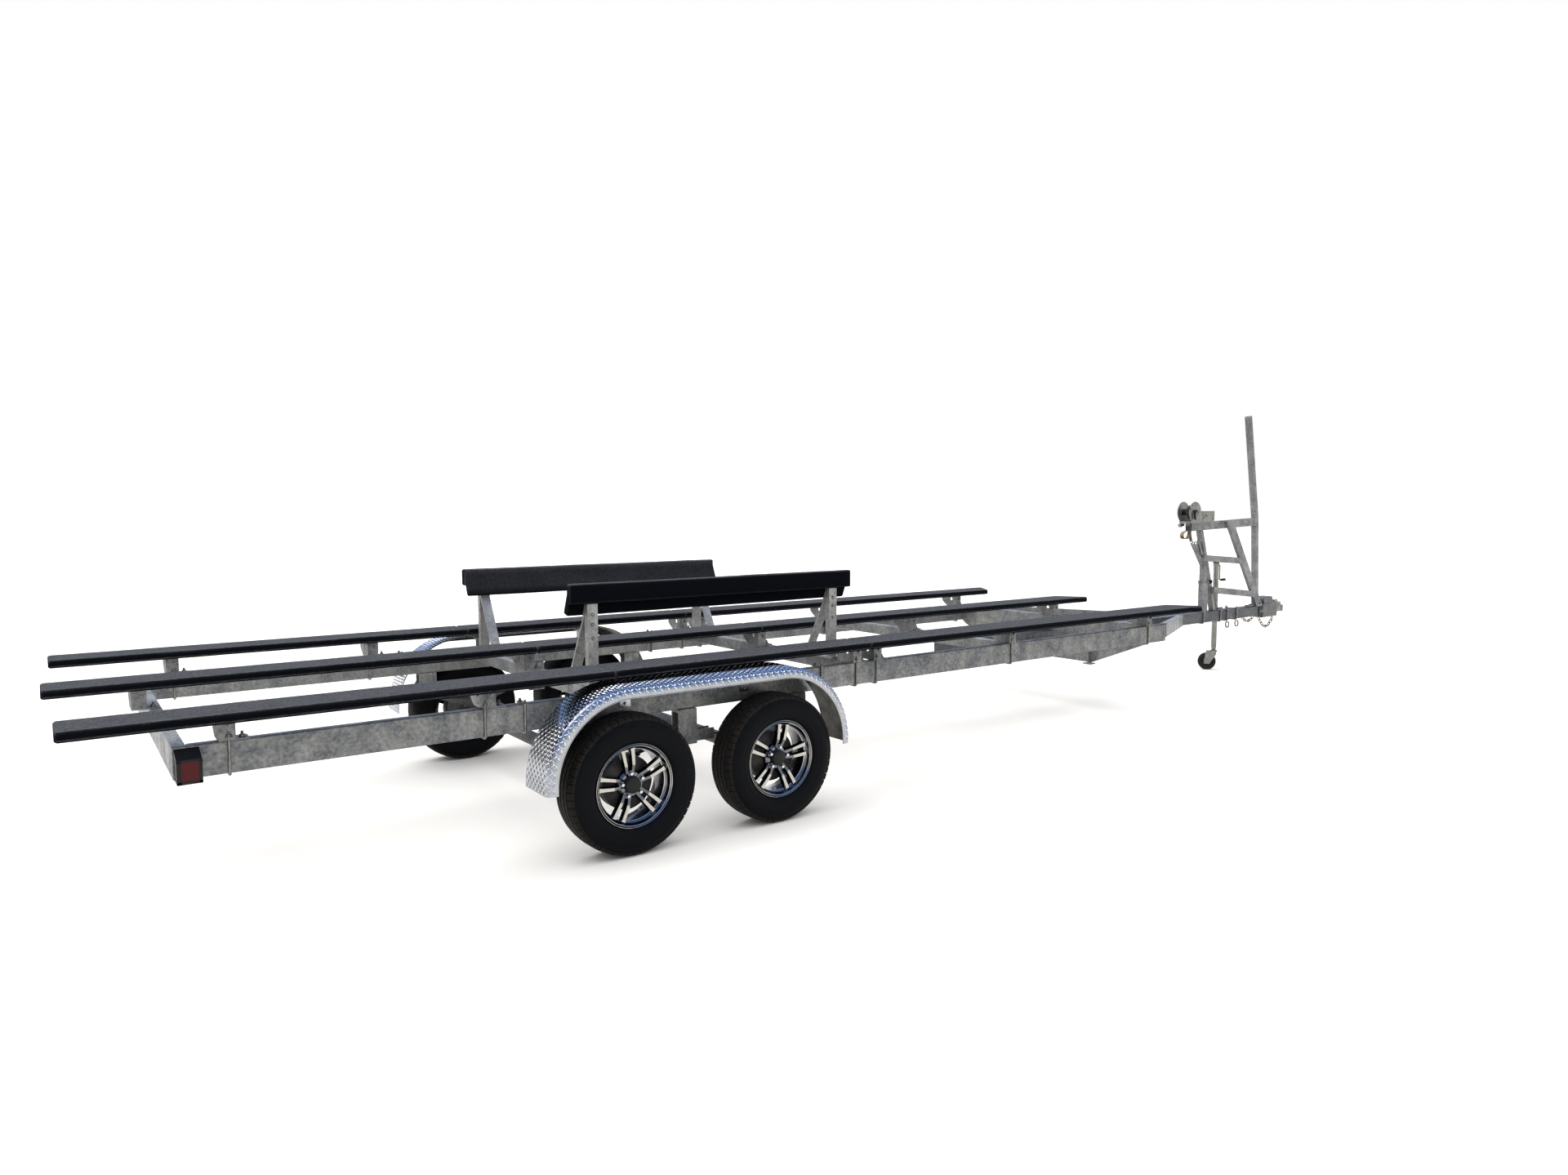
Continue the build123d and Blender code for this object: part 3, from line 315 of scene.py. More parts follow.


# %% [markdown]
# ## Carpet
# Bunk carpet is a needle-punched charcoal felt. Its top is flattened by hulls and greyed partly by dust
# and partly by painted light from above, and its sides stay almost black, so the colour depends on
# which way the surface faces. A pale line, partly wear and partly a painted highlight, runs along its
# rounded edges. Hair strands could stand for the felt, but they are heavy for boards this long, so
# fine noise raises the surface instead.

# %% Carpet
tree, given = start_material("carpet", 0.0, 0.95, shine=0.03)
given["Sheen Weight"].default_value = 0.03
given["Sheen Roughness"].default_value = 0.45
given["Sheen Tint"].default_value = (0.75, 0.8, 0.9, 1)
fibre = place_noise(tree, 420.0, 2.0, 0.8)
tuft = place_noise(tree, 70.0, 5.0, 0.75)
felt = mixed(tree, tuft, (0.0020, 0.0030, 0.0050), (0.0065, 0.0085, 0.0125))
# the top is made paler partly by dust and partly by painted light from above
felt = mixed(tree, use(tree, dust, Amount=0.95, Scale=110.0), felt, (0.13, 0.137, 0.157))
felt = mixed(tree, use(tree, dust, Amount=0.65, Scale=4.0), felt, (0.075, 0.08, 0.095))
# pale line along the board's edges: partly wear, partly a painted highlight
felt = mixed(tree, use(tree, edge_wear_and_highlight, Radius=0.010, Amount=1.1), felt, (0.30, 0.30, 0.31))
put(tree, felt, given["Base Color"])
set_bump(tree, given, maths(tree, "ADD", fibre, tuft), 0.0025, 0.8)
print("carpet", len(tree.nodes), "shader nodes")


# %% [markdown]
# ## Rubber, plastic, wheels, lenses and webbing
# Rubber and plastic are dark and a little patchy, with dust where they face up. The cast wheels are
# machined bright under clear lacquer and painted dark in their pockets, so they take a metal shader
# with a coat. A lens and a strap are both ribbed: a wave texture colours them and raises the ribs,
# which costs nothing in points.

# %% Rubber and plastic
def rubber(name, colour, pale, roughness=0.62, shine=0.2):
    """Dark soft or moulded stuff with pale patches and dust."""
    tree, given = start_material(name, 0.0, roughness, shine=shine)
    blotch = use(tree, patches, Scale=16.0, Fine=9.0, Contrast=1.6)
    settled = use(tree, dust, Amount=0.35, Scale=60.0)
    put(tree, mixed(tree, settled, mixed(tree, blotch, colour, pale), (0.024, 0.023, 0.021)), given["Base Color"])
    put(tree, remap(tree, blotch, 0, 1, roughness - 0.08, roughness + 0.12), given["Roughness"])
    set_bump(tree, given, blotch.outputs["Height"], 0.0004, 0.6)


for row in (("tread_rubber", (0.010, 0.0095, 0.009), (0.024, 0.0225, 0.020), 0.60, 0.10),
            ("tyre_rubber", (0.0022, 0.0026, 0.0036), (0.0065, 0.0072, 0.0090), 0.50, 0.07),
            ("caster_rubber", (0.014, 0.014, 0.015), (0.035, 0.034, 0.033)),
            ("black_plastic", (0.010, 0.010, 0.011), (0.022, 0.022, 0.024), 0.42),
            ("dark_plastic", (0.050, 0.052, 0.056), (0.085, 0.087, 0.090), 0.45)):
    rubber(*row)
print(len(looks), "materials")


# %% Polished cast wheel, bright faces and dark pockets
def polished(name, colour, roughness):
    """Metal under a clear coat, hardly varied."""
    tree, given = start_material(name, 1.0, roughness, coat=0.6)
    given["Coat Roughness"].default_value = 0.04
    blotch = use(tree, patches, Scale=30.0, Fine=5.0, Contrast=0.9)
    put(tree, mixed(tree, blotch, tuple(0.82 * c for c in colour), colour), given["Base Color"])
    put(tree, remap(tree, blotch, 0, 1, roughness + 0.05, roughness), given["Roughness"])


for row in (("wheel_bright", (0.47, 0.455, 0.415), 0.10),
            ("wheel_grey", (0.150, 0.155, 0.170), 0.12),
            ("wheel_dark", (0.022, 0.024, 0.028), 0.24),
            ("lug_chrome", (0.66, 0.67, 0.69), 0.12)):
    polished(*row)
print(len(looks), "materials")


# %% Lamp lens with fine upright ribs
lens_red = (0.105, 0.006, 0.010)
tree, given = start_material("lamp_red", 0.0, 0.42, 0.06, 0.22)
ribs = add(tree, "TexWave", {"Vector": add(tree, "NewGeometry"), "Scale": 60.0}, bands_direction="Y").outputs["Fac"]
put(tree, mixed(tree, ribs, tuple(0.55 * c for c in lens_red), lens_red), given["Base Color"])
set_bump(tree, given, ribs, 0.0008, 0.6)
print("lens", len(tree.nodes), "shader nodes")


# %% Webbing
def webbing(name, colour, dark):
    tree, given = start_material(name, 0.0, 0.85)
    woven = use(tree, weave, Scale=160.0, Distortion=0.4)
    put(tree, mixed(tree, woven, dark, colour), given["Base Color"])
    set_bump(tree, given, woven, 0.0006, 0.8)


webbing("strap_web", (0.034, 0.035, 0.040), (0.014, 0.014, 0.017))
webbing("strap_tan", (0.36, 0.30, 0.21), (0.20, 0.165, 0.11))
print(len(looks), "materials")

# %% [markdown]
# ## Finish the CAD pieces
# Each node takes the material of its slot, but the tongue is darker, with shade painted into its zinc,
# and the guide posts are paler than the other zinc. Rolled tube and folded plate have no knife edges.
# Rounding them in the model would be slow, so a bevel modifier eases them here. The packed mesh keeps
# one copy of each point for every face, so the points are welded first.

# %% Materials and rounded edges on the nodes
slot_of = {entry["node"]: entry["material_slot"] for entry in frame["record"]["subparts"]}
tube_edge = 0.006
plate_edge = 0.0015
tube_nodes = ("side_rail", "crossmember", "tongue", "drawbar", "mast", "winch_arm", "winch_post", "winch_leg",
              "step_frame", "brake_actuator")


def soften(node, name):
    """Weld a node's points and ease its edges, more on tube than on plate."""
    tube = name.startswith(tube_nodes)
    weld = node.modifiers.new("weld", "WELD")
    weld.merge_threshold = 0.00002
    bevel = node.modifiers.new("bevel", "BEVEL")
    bevel.width = tube_edge if tube else plate_edge
    bevel.segments = 3 if tube else 2
    bevel.limit_method = "ANGLE"
    bevel.angle_limit = math.radians(40)
    bevel.harden_normals = False


# the tongue takes the darker zinc, with its shade painted in
own_looks = {"tongue": "zinc_painted_shade", "guide_posts_left": "zinc_pale", "guide_posts_right": "zinc_pale"}
slot_looks = {"wheel_alloy": "wheel_bright", "tyre": "tyre_rubber"}     # other slots go by their own name
for name, node in nodes.items():
    slot = slot_of[name]
    for place in node.material_slots:
        place.material = looks[own_looks.get(name, slot_looks.get(slot, slot))]
    if not name.startswith(("tyre", "rim", "hub", "safety_chains", "caster_wheel")):
        soften(node, name)
print("bevelled", sum("bevel" in node.modifiers for node in nodes.values()), "of", len(nodes), "nodes")

# %% [markdown]
# ## Mesh helpers
# A piece is built as plain vertices and faces, then given its finish and the body it rides on.
# Modifiers and curves could draw the same tubes and rings, but plain points give one mesh that
# exports as it looks. The builder knows three ways to make a skin: over a row of rings, by turning
# an outline about the wheel's axis, and along a bent bar.

# %% Objects from meshes
def dress(name, mesh, finishes, body, replaced=(), smooth_angle=40, place=None):
    """Object for a mesh, with normals outside, smooth faces, its finishes and a body to ride on."""
    if not mesh.materials:
        work = bmesh.new()
        work.from_mesh(mesh)
        bmesh.ops.recalc_face_normals(work, faces=work.faces)
        work.to_mesh(mesh)
        work.free()
        for finish in finishes.split():
            mesh.materials.append(looks[finish])
        mesh.shade_smooth()
        mesh.set_sharp_from_angle(angle=math.radians(smooth_angle))
    piece = bpy.data.objects.new(name, mesh)
    bpy.context.scene.collection.objects.link(piece)
    if place is not None:
        piece.matrix_world = place
    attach(piece, body)
    if replaced:
        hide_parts(*replaced)
    print(name, len(mesh.polygons), "faces on", body)


# %% Mesh builder
def wheel_point(radius, angle, y=0.0):
    """Point at a radius and an angle round the Y axis, on which the wheels turn."""
    return Vector((radius * math.cos(angle), y, radius * math.sin(angle)))


class Builder:
    """Collects many small shapes into one mesh."""

    def __init__(self):
        self.vertices, self.faces, self.finishes = [], [], []
        self.place = Matrix.Identity(4)

    def add(self, vertices, faces, finish=0):
        start = len(self.vertices)
        self.vertices += [self.place @ Vector(v) for v in vertices]
        self.faces += [tuple(start + i for i in face) for face in faces]
        self.finishes += [finish] * len(faces)

    def loft(self, rings, closed=True, caps=True, finish=0, around=False):
        """Skin over rings of equal count. closed joins the ends of each ring, around the first and last ring."""
        count, rows = len(rings[0]), len(rings)
        faces = []
        for row in range(rows if around else rows - 1):
            here, after = row * count, (row + 1) % rows * count
            for i in range(count if closed else count - 1):
                j = (i + 1) % count
                faces.append((here + i, here + j, after + j, after + i))
        if caps:
            faces.append(tuple(reversed(range(count))))
            faces.append(tuple((rows - 1) * count + i for i in range(count)))
        self.add([point for ring in rings for point in ring], faces, finish)

    def revolve(self, profile, steps, finish=0, closed=False):
        """Turn (y, radius) points about the Y axis."""
        rings = [[wheel_point(r, 2 * math.pi * step / steps, y) for y, r in profile] for step in range(steps)]
        self.loft(rings, closed, False, finish, True)

    def rod(self, points, radius, finish=0, around=10):
        """Round bar along a line of points; radius may be a list, one for each point."""
        points = [Vector(p) for p in points]
        radii = radius if isinstance(radius, (list, tuple)) else [radius] * len(points)
        heading = (points[1] - points[0]).normalized()
        side = heading.orthogonal().normalized()
        rings = []
        for index, point in enumerate(points):
            before = (point - points[index - 1]).normalized() if index else heading
            after = (points[index + 1] - point).normalized() if index < len(points) - 1 else before
            turned = before + after
            turned = turned.normalized() if turned.length > 0.001 else after
            side = heading.rotation_difference(turned) @ side
            heading = turned
            other = heading.cross(side)
            rings.append([point + (side * math.cos(a) + other * math.sin(a)) * radii[index]
                          for a in (2 * math.pi * k / around for k in range(around))])
        self.loft(rings, finish=finish)

    def mesh(self, name):
        mesh = bpy.data.meshes.new(name)
        mesh.from_pydata([tuple(v) for v in self.vertices], [], self.faces)
        mesh.polygons.foreach_set("material_index", self.finishes)
        mesh.validate()
        return mesh


print("builder with", [name for name in vars(Builder) if not name.startswith("_")])


# %% [markdown]
# ## Tyres
# A trailer tyre has five plain ribs parted by four straight grooves, and short cuts across its
# shoulders. A bump map would fake them, but the tread's edge is seen against the ground, so it is
# real: the carcass is a turned profile, and the ribs are rows of blocks laid round it. All four
# tyres share one mesh.

# %% Tyre sizes from the frame
tyre_low, tyre_high = node_box("tyre_rear_left")
tyre_radius = (tyre_high.z - tyre_low.z) / 2
tyre_half = (tyre_high.y - tyre_low.y) / 2
rim_low, rim_high = node_box("rim_rear_left")
lip_radius = (rim_high.z - rim_low.z) / 2
tread_base = tyre_radius - 0.009         # the carcass at the bottom of the grooves
tread_half = 0.079
rib_gap = 0.0075
rib_edges = (-tread_half - 0.004, -0.050, -0.018, 0.018, 0.050, tread_half + 0.004)
pitches = 56                             # blocks round one rib
print("tyre", round(tyre_radius, 4), round(tyre_half, 4), "rim lip", round(lip_radius, 4))


# %% Tyre mesh
def tread_block(rib, y0, y1):
    """(y, radius) outline of one tread block, crowned towards the shoulders."""
    low = tread_base - 0.004
    chamfer = 0.0012

    def crown(y):
        return tyre_radius - 0.0055 * (abs(y) / tread_half) ** 2.6

    first = [(y0, low), (y0, crown(y0) - chamfer), (y0 + chamfer, crown(y0))]
    last = [(y1 - chamfer, crown(y1)), (y1, crown(y1) - chamfer), (y1, low)]
    if rib == 0:
        first = [(y0 + 0.002, low - 0.014), (y0 - 0.006, low - 0.010), (y0 - 0.004, low + 0.001),
                 (y0 + 0.006, crown(y0 + 0.006))]
    elif rib == 4:
        last = [(y1 - 0.006, crown(y1 - 0.006)), (y1 + 0.004, low + 0.001), (y1 + 0.006, low - 0.010),
                (y1 - 0.002, low - 0.014)]
    else:
        first.append(((y0 + y1) / 2, crown((y0 + y1) / 2)))
    return first + last


def tyre_mesh():
    work = Builder()
    seat = tyre_half - 0.026
    side = [(seat + y, lip_radius + r) for y, r in ((0, -0.013), (0.002, 0.004), (0.007, 0.010), (0.012, 0.011),
                                                    (0.015, 0.016))]
    side += [(tyre_half - y, lip_radius + r) for y, r in (
        (0.006, 0.027), (0.003, 0.038), (0.0035, 0.040), (0.0005, 0.052), (0, 0.064), (0.001, 0.078),
        (0.0035, 0.088), (0.0025, 0.090), (0.006, 0.101))]
    side += [(tyre_half - 0.012, tread_base - 0.021), (tread_half + 0.007, tread_base - 0.009),
             (tread_half - 0.002, tread_base - 0.002), (tread_half - 0.020, tread_base)]
    work.revolve([(-y, r) for y, r in side] + [(y, r) for y, r in reversed(side)], 112, closed=True)
    step = 2 * math.pi / pitches
    for rib in range(5):
        shoulder_rib = rib in (0, 4)
        y0 = rib_edges[rib] + (0 if rib == 0 else rib_gap / 2)
        y1 = rib_edges[rib + 1] - (0 if rib == 4 else rib_gap / 2)
        section = tread_block(rib, y0, y1)
        gap = (0.11 if shoulder_rib else 0.05) * step
        slant = 0 if shoulder_rib else 0.12 * step * (1 if rib != 2 else -1)
        for pitch in range(pitches):
            start = pitch * step + (step * 0.5 if rib % 2 else 0) + gap / 2
            end = start + step - gap
            work.loft([[wheel_point(r, start + (end - start) * part / 3 + slant * ((y - y0) / (y1 - y0) - 0.5), y)
                        for y, r in section] for part in range(4)], finish=1)
    return work.mesh("tyre")


shared_tyre = tyre_mesh()
print("tyre mesh", len(shared_tyre.polygons), "faces")


# %% [markdown]
# ## Cast wheels
# The wheel has five pairs of spokes. Their faces are machined bright and their flanks, with the
# barrel behind them, are dark. Every spoke is a short loft from the hub out to the lip, since
# it widens and rises on the way. The rim is turned in bands, and each band has its own finish.

# %% Wheel sizes
spoke_pairs = 5
first_pair = math.radians(18)
barrel, lip = lip_radius - 0.030, lip_radius
inner, outer = rim_low.y - rear_hub.y, rim_high.y - rear_hub.y
face = 0.046                             # hub face, outward of the wheel's centre plane
spoke_path = (                           # radius, distance from the pair's middle, width, rise of the face
    (0.034, 0.010, 0.020, -0.004), (0.060, 0.0155, 0.019, 0.000), (0.080, 0.0185, 0.017, 0.007),
    (0.097, 0.0205, 0.0185, 0.014), (0.128, 0.0230, 0.0195, 0.0155), (barrel - 0.008, 0.0255, 0.0215, 0.0165),
    (barrel + 0.003, 0.0262, 0.026, 0.0165))
rim_bands = (                            # finish, then (y, radius) points on from where the last band ended
    (1, (inner + 0.003, lip), (inner + 0.006, lip - 0.006), (inner + 0.009, barrel + 0.010), (inner + 0.05, barrel),
     (0.0, barrel - 0.006), (outer - 0.036, barrel - 0.001)),
    (0, (outer - 0.0335, barrel - 0.0015), (outer - 0.032, barrel + 0.001)),
    (4, (outer - 0.028, barrel + 0.006), (outer - 0.020, barrel + 0.011), (outer - 0.010, barrel + 0.0145),
     (outer - 0.0055, barrel + 0.016)),
    (0, (outer - 0.0042, barrel + 0.0178), (outer - 0.0045, barrel + 0.0190)),
    (4, (outer - 0.0085, barrel + 0.0206), (outer - 0.0045, barrel + 0.0228), (outer - 0.0020, lip - 0.0045)),
    (0, (outer, lip - 0.0030), (outer - 0.0008, lip - 0.0012)),
    (4, (outer - 0.004, lip), (outer - 0.007, lip - 0.0005), (outer - 0.0075, lip - 0.012)))
hub_shell = ((0.012, 0.072), (0.030, 0.068), (face - 0.012, 0.064), (face - 0.006, 0.058), (face - 0.004, 0.040))
hub_cap = ((face - 0.005, 0.043), (face + 0.012, 0.042), (face + 0.019, 0.039), (face + 0.023, 0.031),
           (face + 0.025, 0.016), (face + 0.0255, 0.0))
lug_circle = 0.05715
lug_seat = ((face - 0.008, 0.0135), (face + 0.002, 0.0135), (face + 0.002, 0.0112))
lug_nut = ((face - 0.004, 0.0098), (face + 0.013, 0.0098), (face + 0.018, 0.0078), (face + 0.0195, 0.002))
print("rim", round(outer - inner, 4), "wide")


# %% Wheel mesh
def spoke_rings(angle, side):
    """Cross-sections of one spoke of a pair, from the hub out to the rim."""
    along = wheel_point(1, angle)
    across = Vector((-math.sin(angle), 0, math.cos(angle)))
    rings = []
    for r, offset, width, rise in spoke_path:
        half = width / 2
        y = face + rise
        centre = along * r + across * (side * offset)
        section = ((-half - 0.003, y - 0.026), (-half, y - 0.003), (-half + 0.002, y), (half - 0.002, y),
                   (half, y - 0.003), (half + 0.003, y - 0.026))
        rings.append([centre + across * a + Vector((0, b, 0)) for a, b in section])
    return rings


def wheel_mesh():
    work = Builder()
    ended = (inner, lip)
    for finish, *points in rim_bands:
        work.revolve([ended] + points, 96, finish)
        ended = points[-1]
    for pair in range(spoke_pairs):
        for side in (-1, 1):
            rings = spoke_rings(2 * math.pi * pair / spoke_pairs + first_pair, side)
            start = len(work.faces)
            work.loft(rings, finish=1)
            for row in range(len(rings) - 1):
                for i in (1, 2, 3):
                    work.finishes[start + row * 6 + i] = 0 if row > 2 else 4
    work.revolve(hub_shell, 60, 4)
    work.revolve(hub_cap, 48, 2)
    for lug in range(5):
        centre = wheel_point(lug_circle, 2 * math.pi * lug / 5 + first_pair)
        for profile, finish in ((lug_seat, 4), (lug_nut, 3)):
            work.loft([[centre + wheel_point(r, math.radians(30 * k), y) for k in range(12)] for y, r in profile],
                      finish=finish)
    return work.mesh("wheel")


# %% Put a tyre and a wheel on each hub
shared_wheel = wheel_mesh()
wheel_finishes = "wheel_bright wheel_dark black_plastic lug_chrome wheel_grey"
parked_turn = {"rear": math.radians(9), "front": math.radians(-10)}
for side_name, side in sides.items():
    for end in ends:
        body = f"wheel_{end}_{side_name}"
        place = (Matrix.Translation(Vector(record_joints[f"{body}_spin"]["pos_m"]))
                 @ Matrix.Rotation(math.pi if side < 0 else 0, 4, "Z") @ Matrix.Rotation(parked_turn[end], 4, "Y"))
        dress(f"dressed_tyre_{end}_{side_name}", shared_tyre, "tyre_rubber tread_rubber", body,
              (f"tyre_{end}_{side_name}",), 32, place)
        dress(f"dressed_wheel_{end}_{side_name}", shared_wheel, wheel_finishes, body,
              (f"rim_{end}_{side_name}",), 30, place)

# %% [markdown]
# ## Carpeted boards
# A bunk is a plank wrapped in carpet, so its corners are soft and its faces are never quite flat.
# A bevelled box would look like plastic. The board is therefore a ring of points swept along the
# plank, with each point nudged by smooth noise, and each length of it is drawn in at its ends.

# %% Carpeted boards
carpet_round = 0.009
wrap_step = 0.030                        # largest gap between points, along and across the board
end_run = 0.010                          # length over which an end is rounded off


def rounded_ring(width, height, radius, steps=3):
    """Corner-rounded rectangle as (a, b) points, centred."""
    points = []
    for corner, (sx, sy) in enumerate(((1, 1), (-1, 1), (-1, -1), (1, -1))):
        for step in range(steps + 1):
            angle = math.radians(90 * corner + 90 * step / steps)
            points.append((sx * (width / 2 - radius) + radius * math.cos(angle),
                           sy * (height / 2 - radius) + radius * math.sin(angle)))
    return points


def resample(ring, count):
    """The same closed outline with another number of points, evenly spaced."""
    points = [Vector(p) for p in ring]
    loop = points + [points[0]]
    lengths = [(b - a).length for a, b in zip(loop, loop[1:])]
    total = sum(lengths)
    result = []
    index = 0
    passed = 0.0
    for k in range(count):
        target = total * k / count
        while passed + lengths[index] < target and index < len(lengths) - 1:
            passed += lengths[index]
            index += 1
        t = (target - passed) / lengths[index]
        result.append(tuple(loop[index].lerp(loop[index + 1], min(max(t, 0), 1))))
    return result


def carpet_board(work, low, high, cut=None, seed=0.0):
    """Soft-edged board along X between two corners; cut(x) gives its (low y, high y) at a station."""
    length = high.x - low.x
    middle_y, middle_z = (low.y + high.y) / 2, (low.z + high.z) / 2
    stations = [0.0, 0.003, end_run] + [end_run + wrap_step * k for k in range(1, int((length - 0.02) / wrap_step))]
    stations += [length - end_run, length - 0.003, length]
    rings = []
    for s in stations:
        x = low.x + s
        y0, y1 = cut(x) if cut else (low.y, high.y)
        pinch = 0.007 * max(0.0, 1 - min(s, length - s) / end_run) ** 2
        outline = [((y0 + y1) / 2 + a, middle_z + b) for a, b in rounded_ring(
            y1 - y0 - 2 * pinch, high.z - low.z - 2 * pinch, carpet_round - 0.5 * pinch)]
        ring = []
        for (a, b), (c, d) in zip(outline, outline[1:] + outline[:1]):
            parts = max(1, int(round(math.hypot(c - a, d - b) / wrap_step)))
            ring += [(x, a + (c - a) * part / parts, b + (d - b) * part / parts) for part in range(parts)]
        rings.append(ring)
    counts = {len(ring) for ring in rings}
    if len(counts) > 1:
        rings = [resample(ring, max(counts)) for ring in rings]
    shaped = []
    for ring in rings:
        line = []
        for x, y, z in ring:
            away = Vector((0, y - middle_y, (z - middle_z) * 2)).normalized()
            wave = noise.noise(Vector((x * 3.1, y * 9 + seed, z * 20))) * 0.0016
            wave += noise.noise(Vector((x * 14, y * 22 + seed, z * 40 + 5))) * 0.0009
            line.append(Vector((x, y, z)) + away * (wave - 0.0014))
        shaped.append(line)
    work.loft(shaped)


# %% Bunks: three boards, each in three lengths, with a slanting nose
def nose_cut(low, high, inner_side, run=0.150, left=0.035):
    """Width of a bunk that is cut off aslant at its front, on the side given by inner_side."""
    def width(x):
        taken = max(0.0, x - (high.x - run)) / run * (high.y - low.y - left)
        return (low.y, high.y - taken) if inner_side > 0 else (low.y + taken, high.y)
    return width


bunk_joints = {"left": (-0.040, 1.600), "centre": (0.0, 1.560), "right": (-0.040, 1.600)}
nose_side = {"left": -1, "centre": 1, "right": 1}
half_gap = 0.001
for name, joints in bunk_joints.items():
    low, high = node_box(f"bunk_{name}")
    work = Builder()
    starts = [low.x] + [axle_x + x + half_gap for x in joints]
    stops = [axle_x + x - half_gap for x in joints] + [high.x]
    for index, (x0, x1) in enumerate(zip(starts, stops)):
        cut = nose_cut(low, high, nose_side[name]) if index == len(starts) - 1 else None
        carpet_board(work, Vector((x0, low.y, low.z)), Vector((x1, high.y, high.z)), cut, seed=index * 3.7)
    dress(f"carpeted_bunk_{name}", work.mesh(f"bunk_{name}"), "carpet", "frame", (f"bunk_{name}",), 50)

# %% [markdown]
# Each guide is two carpeted planks. The lower one leans, so it is made upright and turned about its
# own middle, which keeps its size plain to read. The upper one stands on the posts, against the
# outside of the first.

# %% Guide boards
guide_thick = 0.042
guide_width = 0.170
guide_lean = math.radians(22.6)
guide_y, guide_z = 0.750, 1.207          # middle of the lower plank
guide_over = 0.009                       # the upper plank goes past the lower one at each end
guide_rail = 0.106                       # height of the upper plank
for side_name, side in sides.items():
    low, high = node_box(f"guide_board_{side_name}")
    work = Builder()
    work.place = Matrix.Translation((0, side * guide_y, guide_z)) @ Matrix.Rotation(-side * guide_lean, 4, "X")
    carpet_board(work, Vector((low.x + guide_over, -guide_thick / 2, -guide_width / 2)),
                 Vector((high.x - guide_over, guide_thick / 2, guide_width / 2)), seed=2 + side)
    work.place = Matrix.Identity(4)
    outer_y = max(abs(low.y), abs(high.y))
    near, far = sorted((side * (outer_y - guide_thick), side * outer_y))
    carpet_board(work, Vector((low.x, near, high.z - guide_rail)), Vector((high.x, far, high.z)), seed=5 + side)
    dress(f"carpeted_guide_{side_name}", work.mesh(f"guide_{side_name}"), "carpet", "frame",
          (f"guide_board_{side_name}",), 50)

# %% [markdown]
# ## Blocks, nuts and bolts
# A trailer is bolted together, so nuts and thread ends show everywhere. They could be a model that
# is placed many times, but here they are drawn straight into the mesh being built, a fender's or one
# of a few sets of fittings, which keeps them few objects. A washer, a hexagon with cut corners and a
# ribbed stub are enough.

# %% Blocks, nuts and bolts
def circle(radius, count, lift=0.0):
    """Points round the Z axis at one height."""
    return [Vector((radius * math.cos(a), radius * math.sin(a), lift))
            for a in (2 * math.pi * k / count for k in range(count))]


def box(work, low, high, edge=0.0015, finish=0):
    """Block between two corners with eased edges."""
    (x0, y0, z0), (x1, y1, z1) = low, high
    corners = [Vector((x, y, 0)) for x, y in ((x0, y0), (x1, y0), (x1, y1), (x0, y1))]
    middle = sum(corners, Vector()) / 4
    rings = []
    for z, inset in ((z0, edge), (z0 + edge, 0), (z1 - edge, 0), (z1, edge)):
        spokes = [corner - middle for corner in corners]
        rings.append([middle + away - away.normalized() * inset + Vector((0, 0, z)) for away in spokes])
    work.loft(rings, finish=finish)


def nut(work, centre, axis, across, height, finish=0):
    """Hexagon with chamfered corners on a round washer."""
    kept = work.place
    work.place = kept @ Matrix.Translation(centre) @ Vector(axis).to_track_quat("Z", "Y").to_matrix().to_4x4()
    washer, corner = across * 0.78, across / math.sqrt(3)
    work.loft([circle(r, 18, z) for r, z in ((washer, 0), (washer, 0.0016), (washer * 0.97, 0.0022))],
              finish=finish)
    work.loft([circle(r, 6, 0.002 + z) for r, z in ((corner, 0), (corner, height * 0.82),
                                                    (corner * 0.86, height))], finish=finish)
    work.place = kept


def bolt(work, centre, axis, size=0.012, stub=0.010, finish=0):
    """Nut with the threaded end of its bolt standing out of it."""
    nut(work, centre, axis, size * 1.55, size * 0.75, finish)
    centre, axis = Vector(centre), Vector(axis).normalized()
    count = max(2, int(stub / 0.0016))  # one rib of the thread for each 1.6 mm
    points = [centre + axis * (size * 0.75 + 0.002 + stub * k / count) for k in range(count + 1)]
    radii = [size / 2 - (0.0007 if k % 2 else 0) for k in range(count + 1)]
    work.rod([centre + axis * 0.002] + points, [size / 2] + radii, finish=finish)


sample = Builder()
bolt(sample, (0, 0, 0), (0, 0, 1))
print("one bolt", len(sample.faces), "faces")

# %% [markdown]
# ## Fenders
# Each fender is one sheet of polished tread plate, rolled over both wheels. Its section runs out
# from the rail, round a soft shoulder and down a narrow skirt, so the sheet is a grid of points
# along the arch and across that section. The raised bars of the plate are real: low lozenges laid
# alternately to left and right, as the rolling mill leaves them. A bump texture can't follow the
# bend of the arch without being unwrapped, and these can.

# %% Fender arch, measured along its outer line
fender_low, fender_high = node_box("fender_right")
arch_radius = 0.440
arch_flat = 0.456                       # half of the level top
bar_height = 0.0022                     # of the plate's raised bars
sheet = 0.0026
shoulder = 0.038
skirt = 0.055
straight = (fender_high.z - fender_low.z) - arch_radius
quarter = arch_radius * math.pi / 2
arch_length = 2 * (straight + quarter + arch_flat)
wheels_middle = (rear_hub.x + front_hub.x) / 2
fender_inner = 1.040
fender_outer = max(abs(fender_low.y), abs(fender_high.y))
level_run = fender_outer - fender_inner - shoulder
shoulder_run = shoulder * math.pi / 2
section_length = level_run + shoulder_run + skirt - shoulder


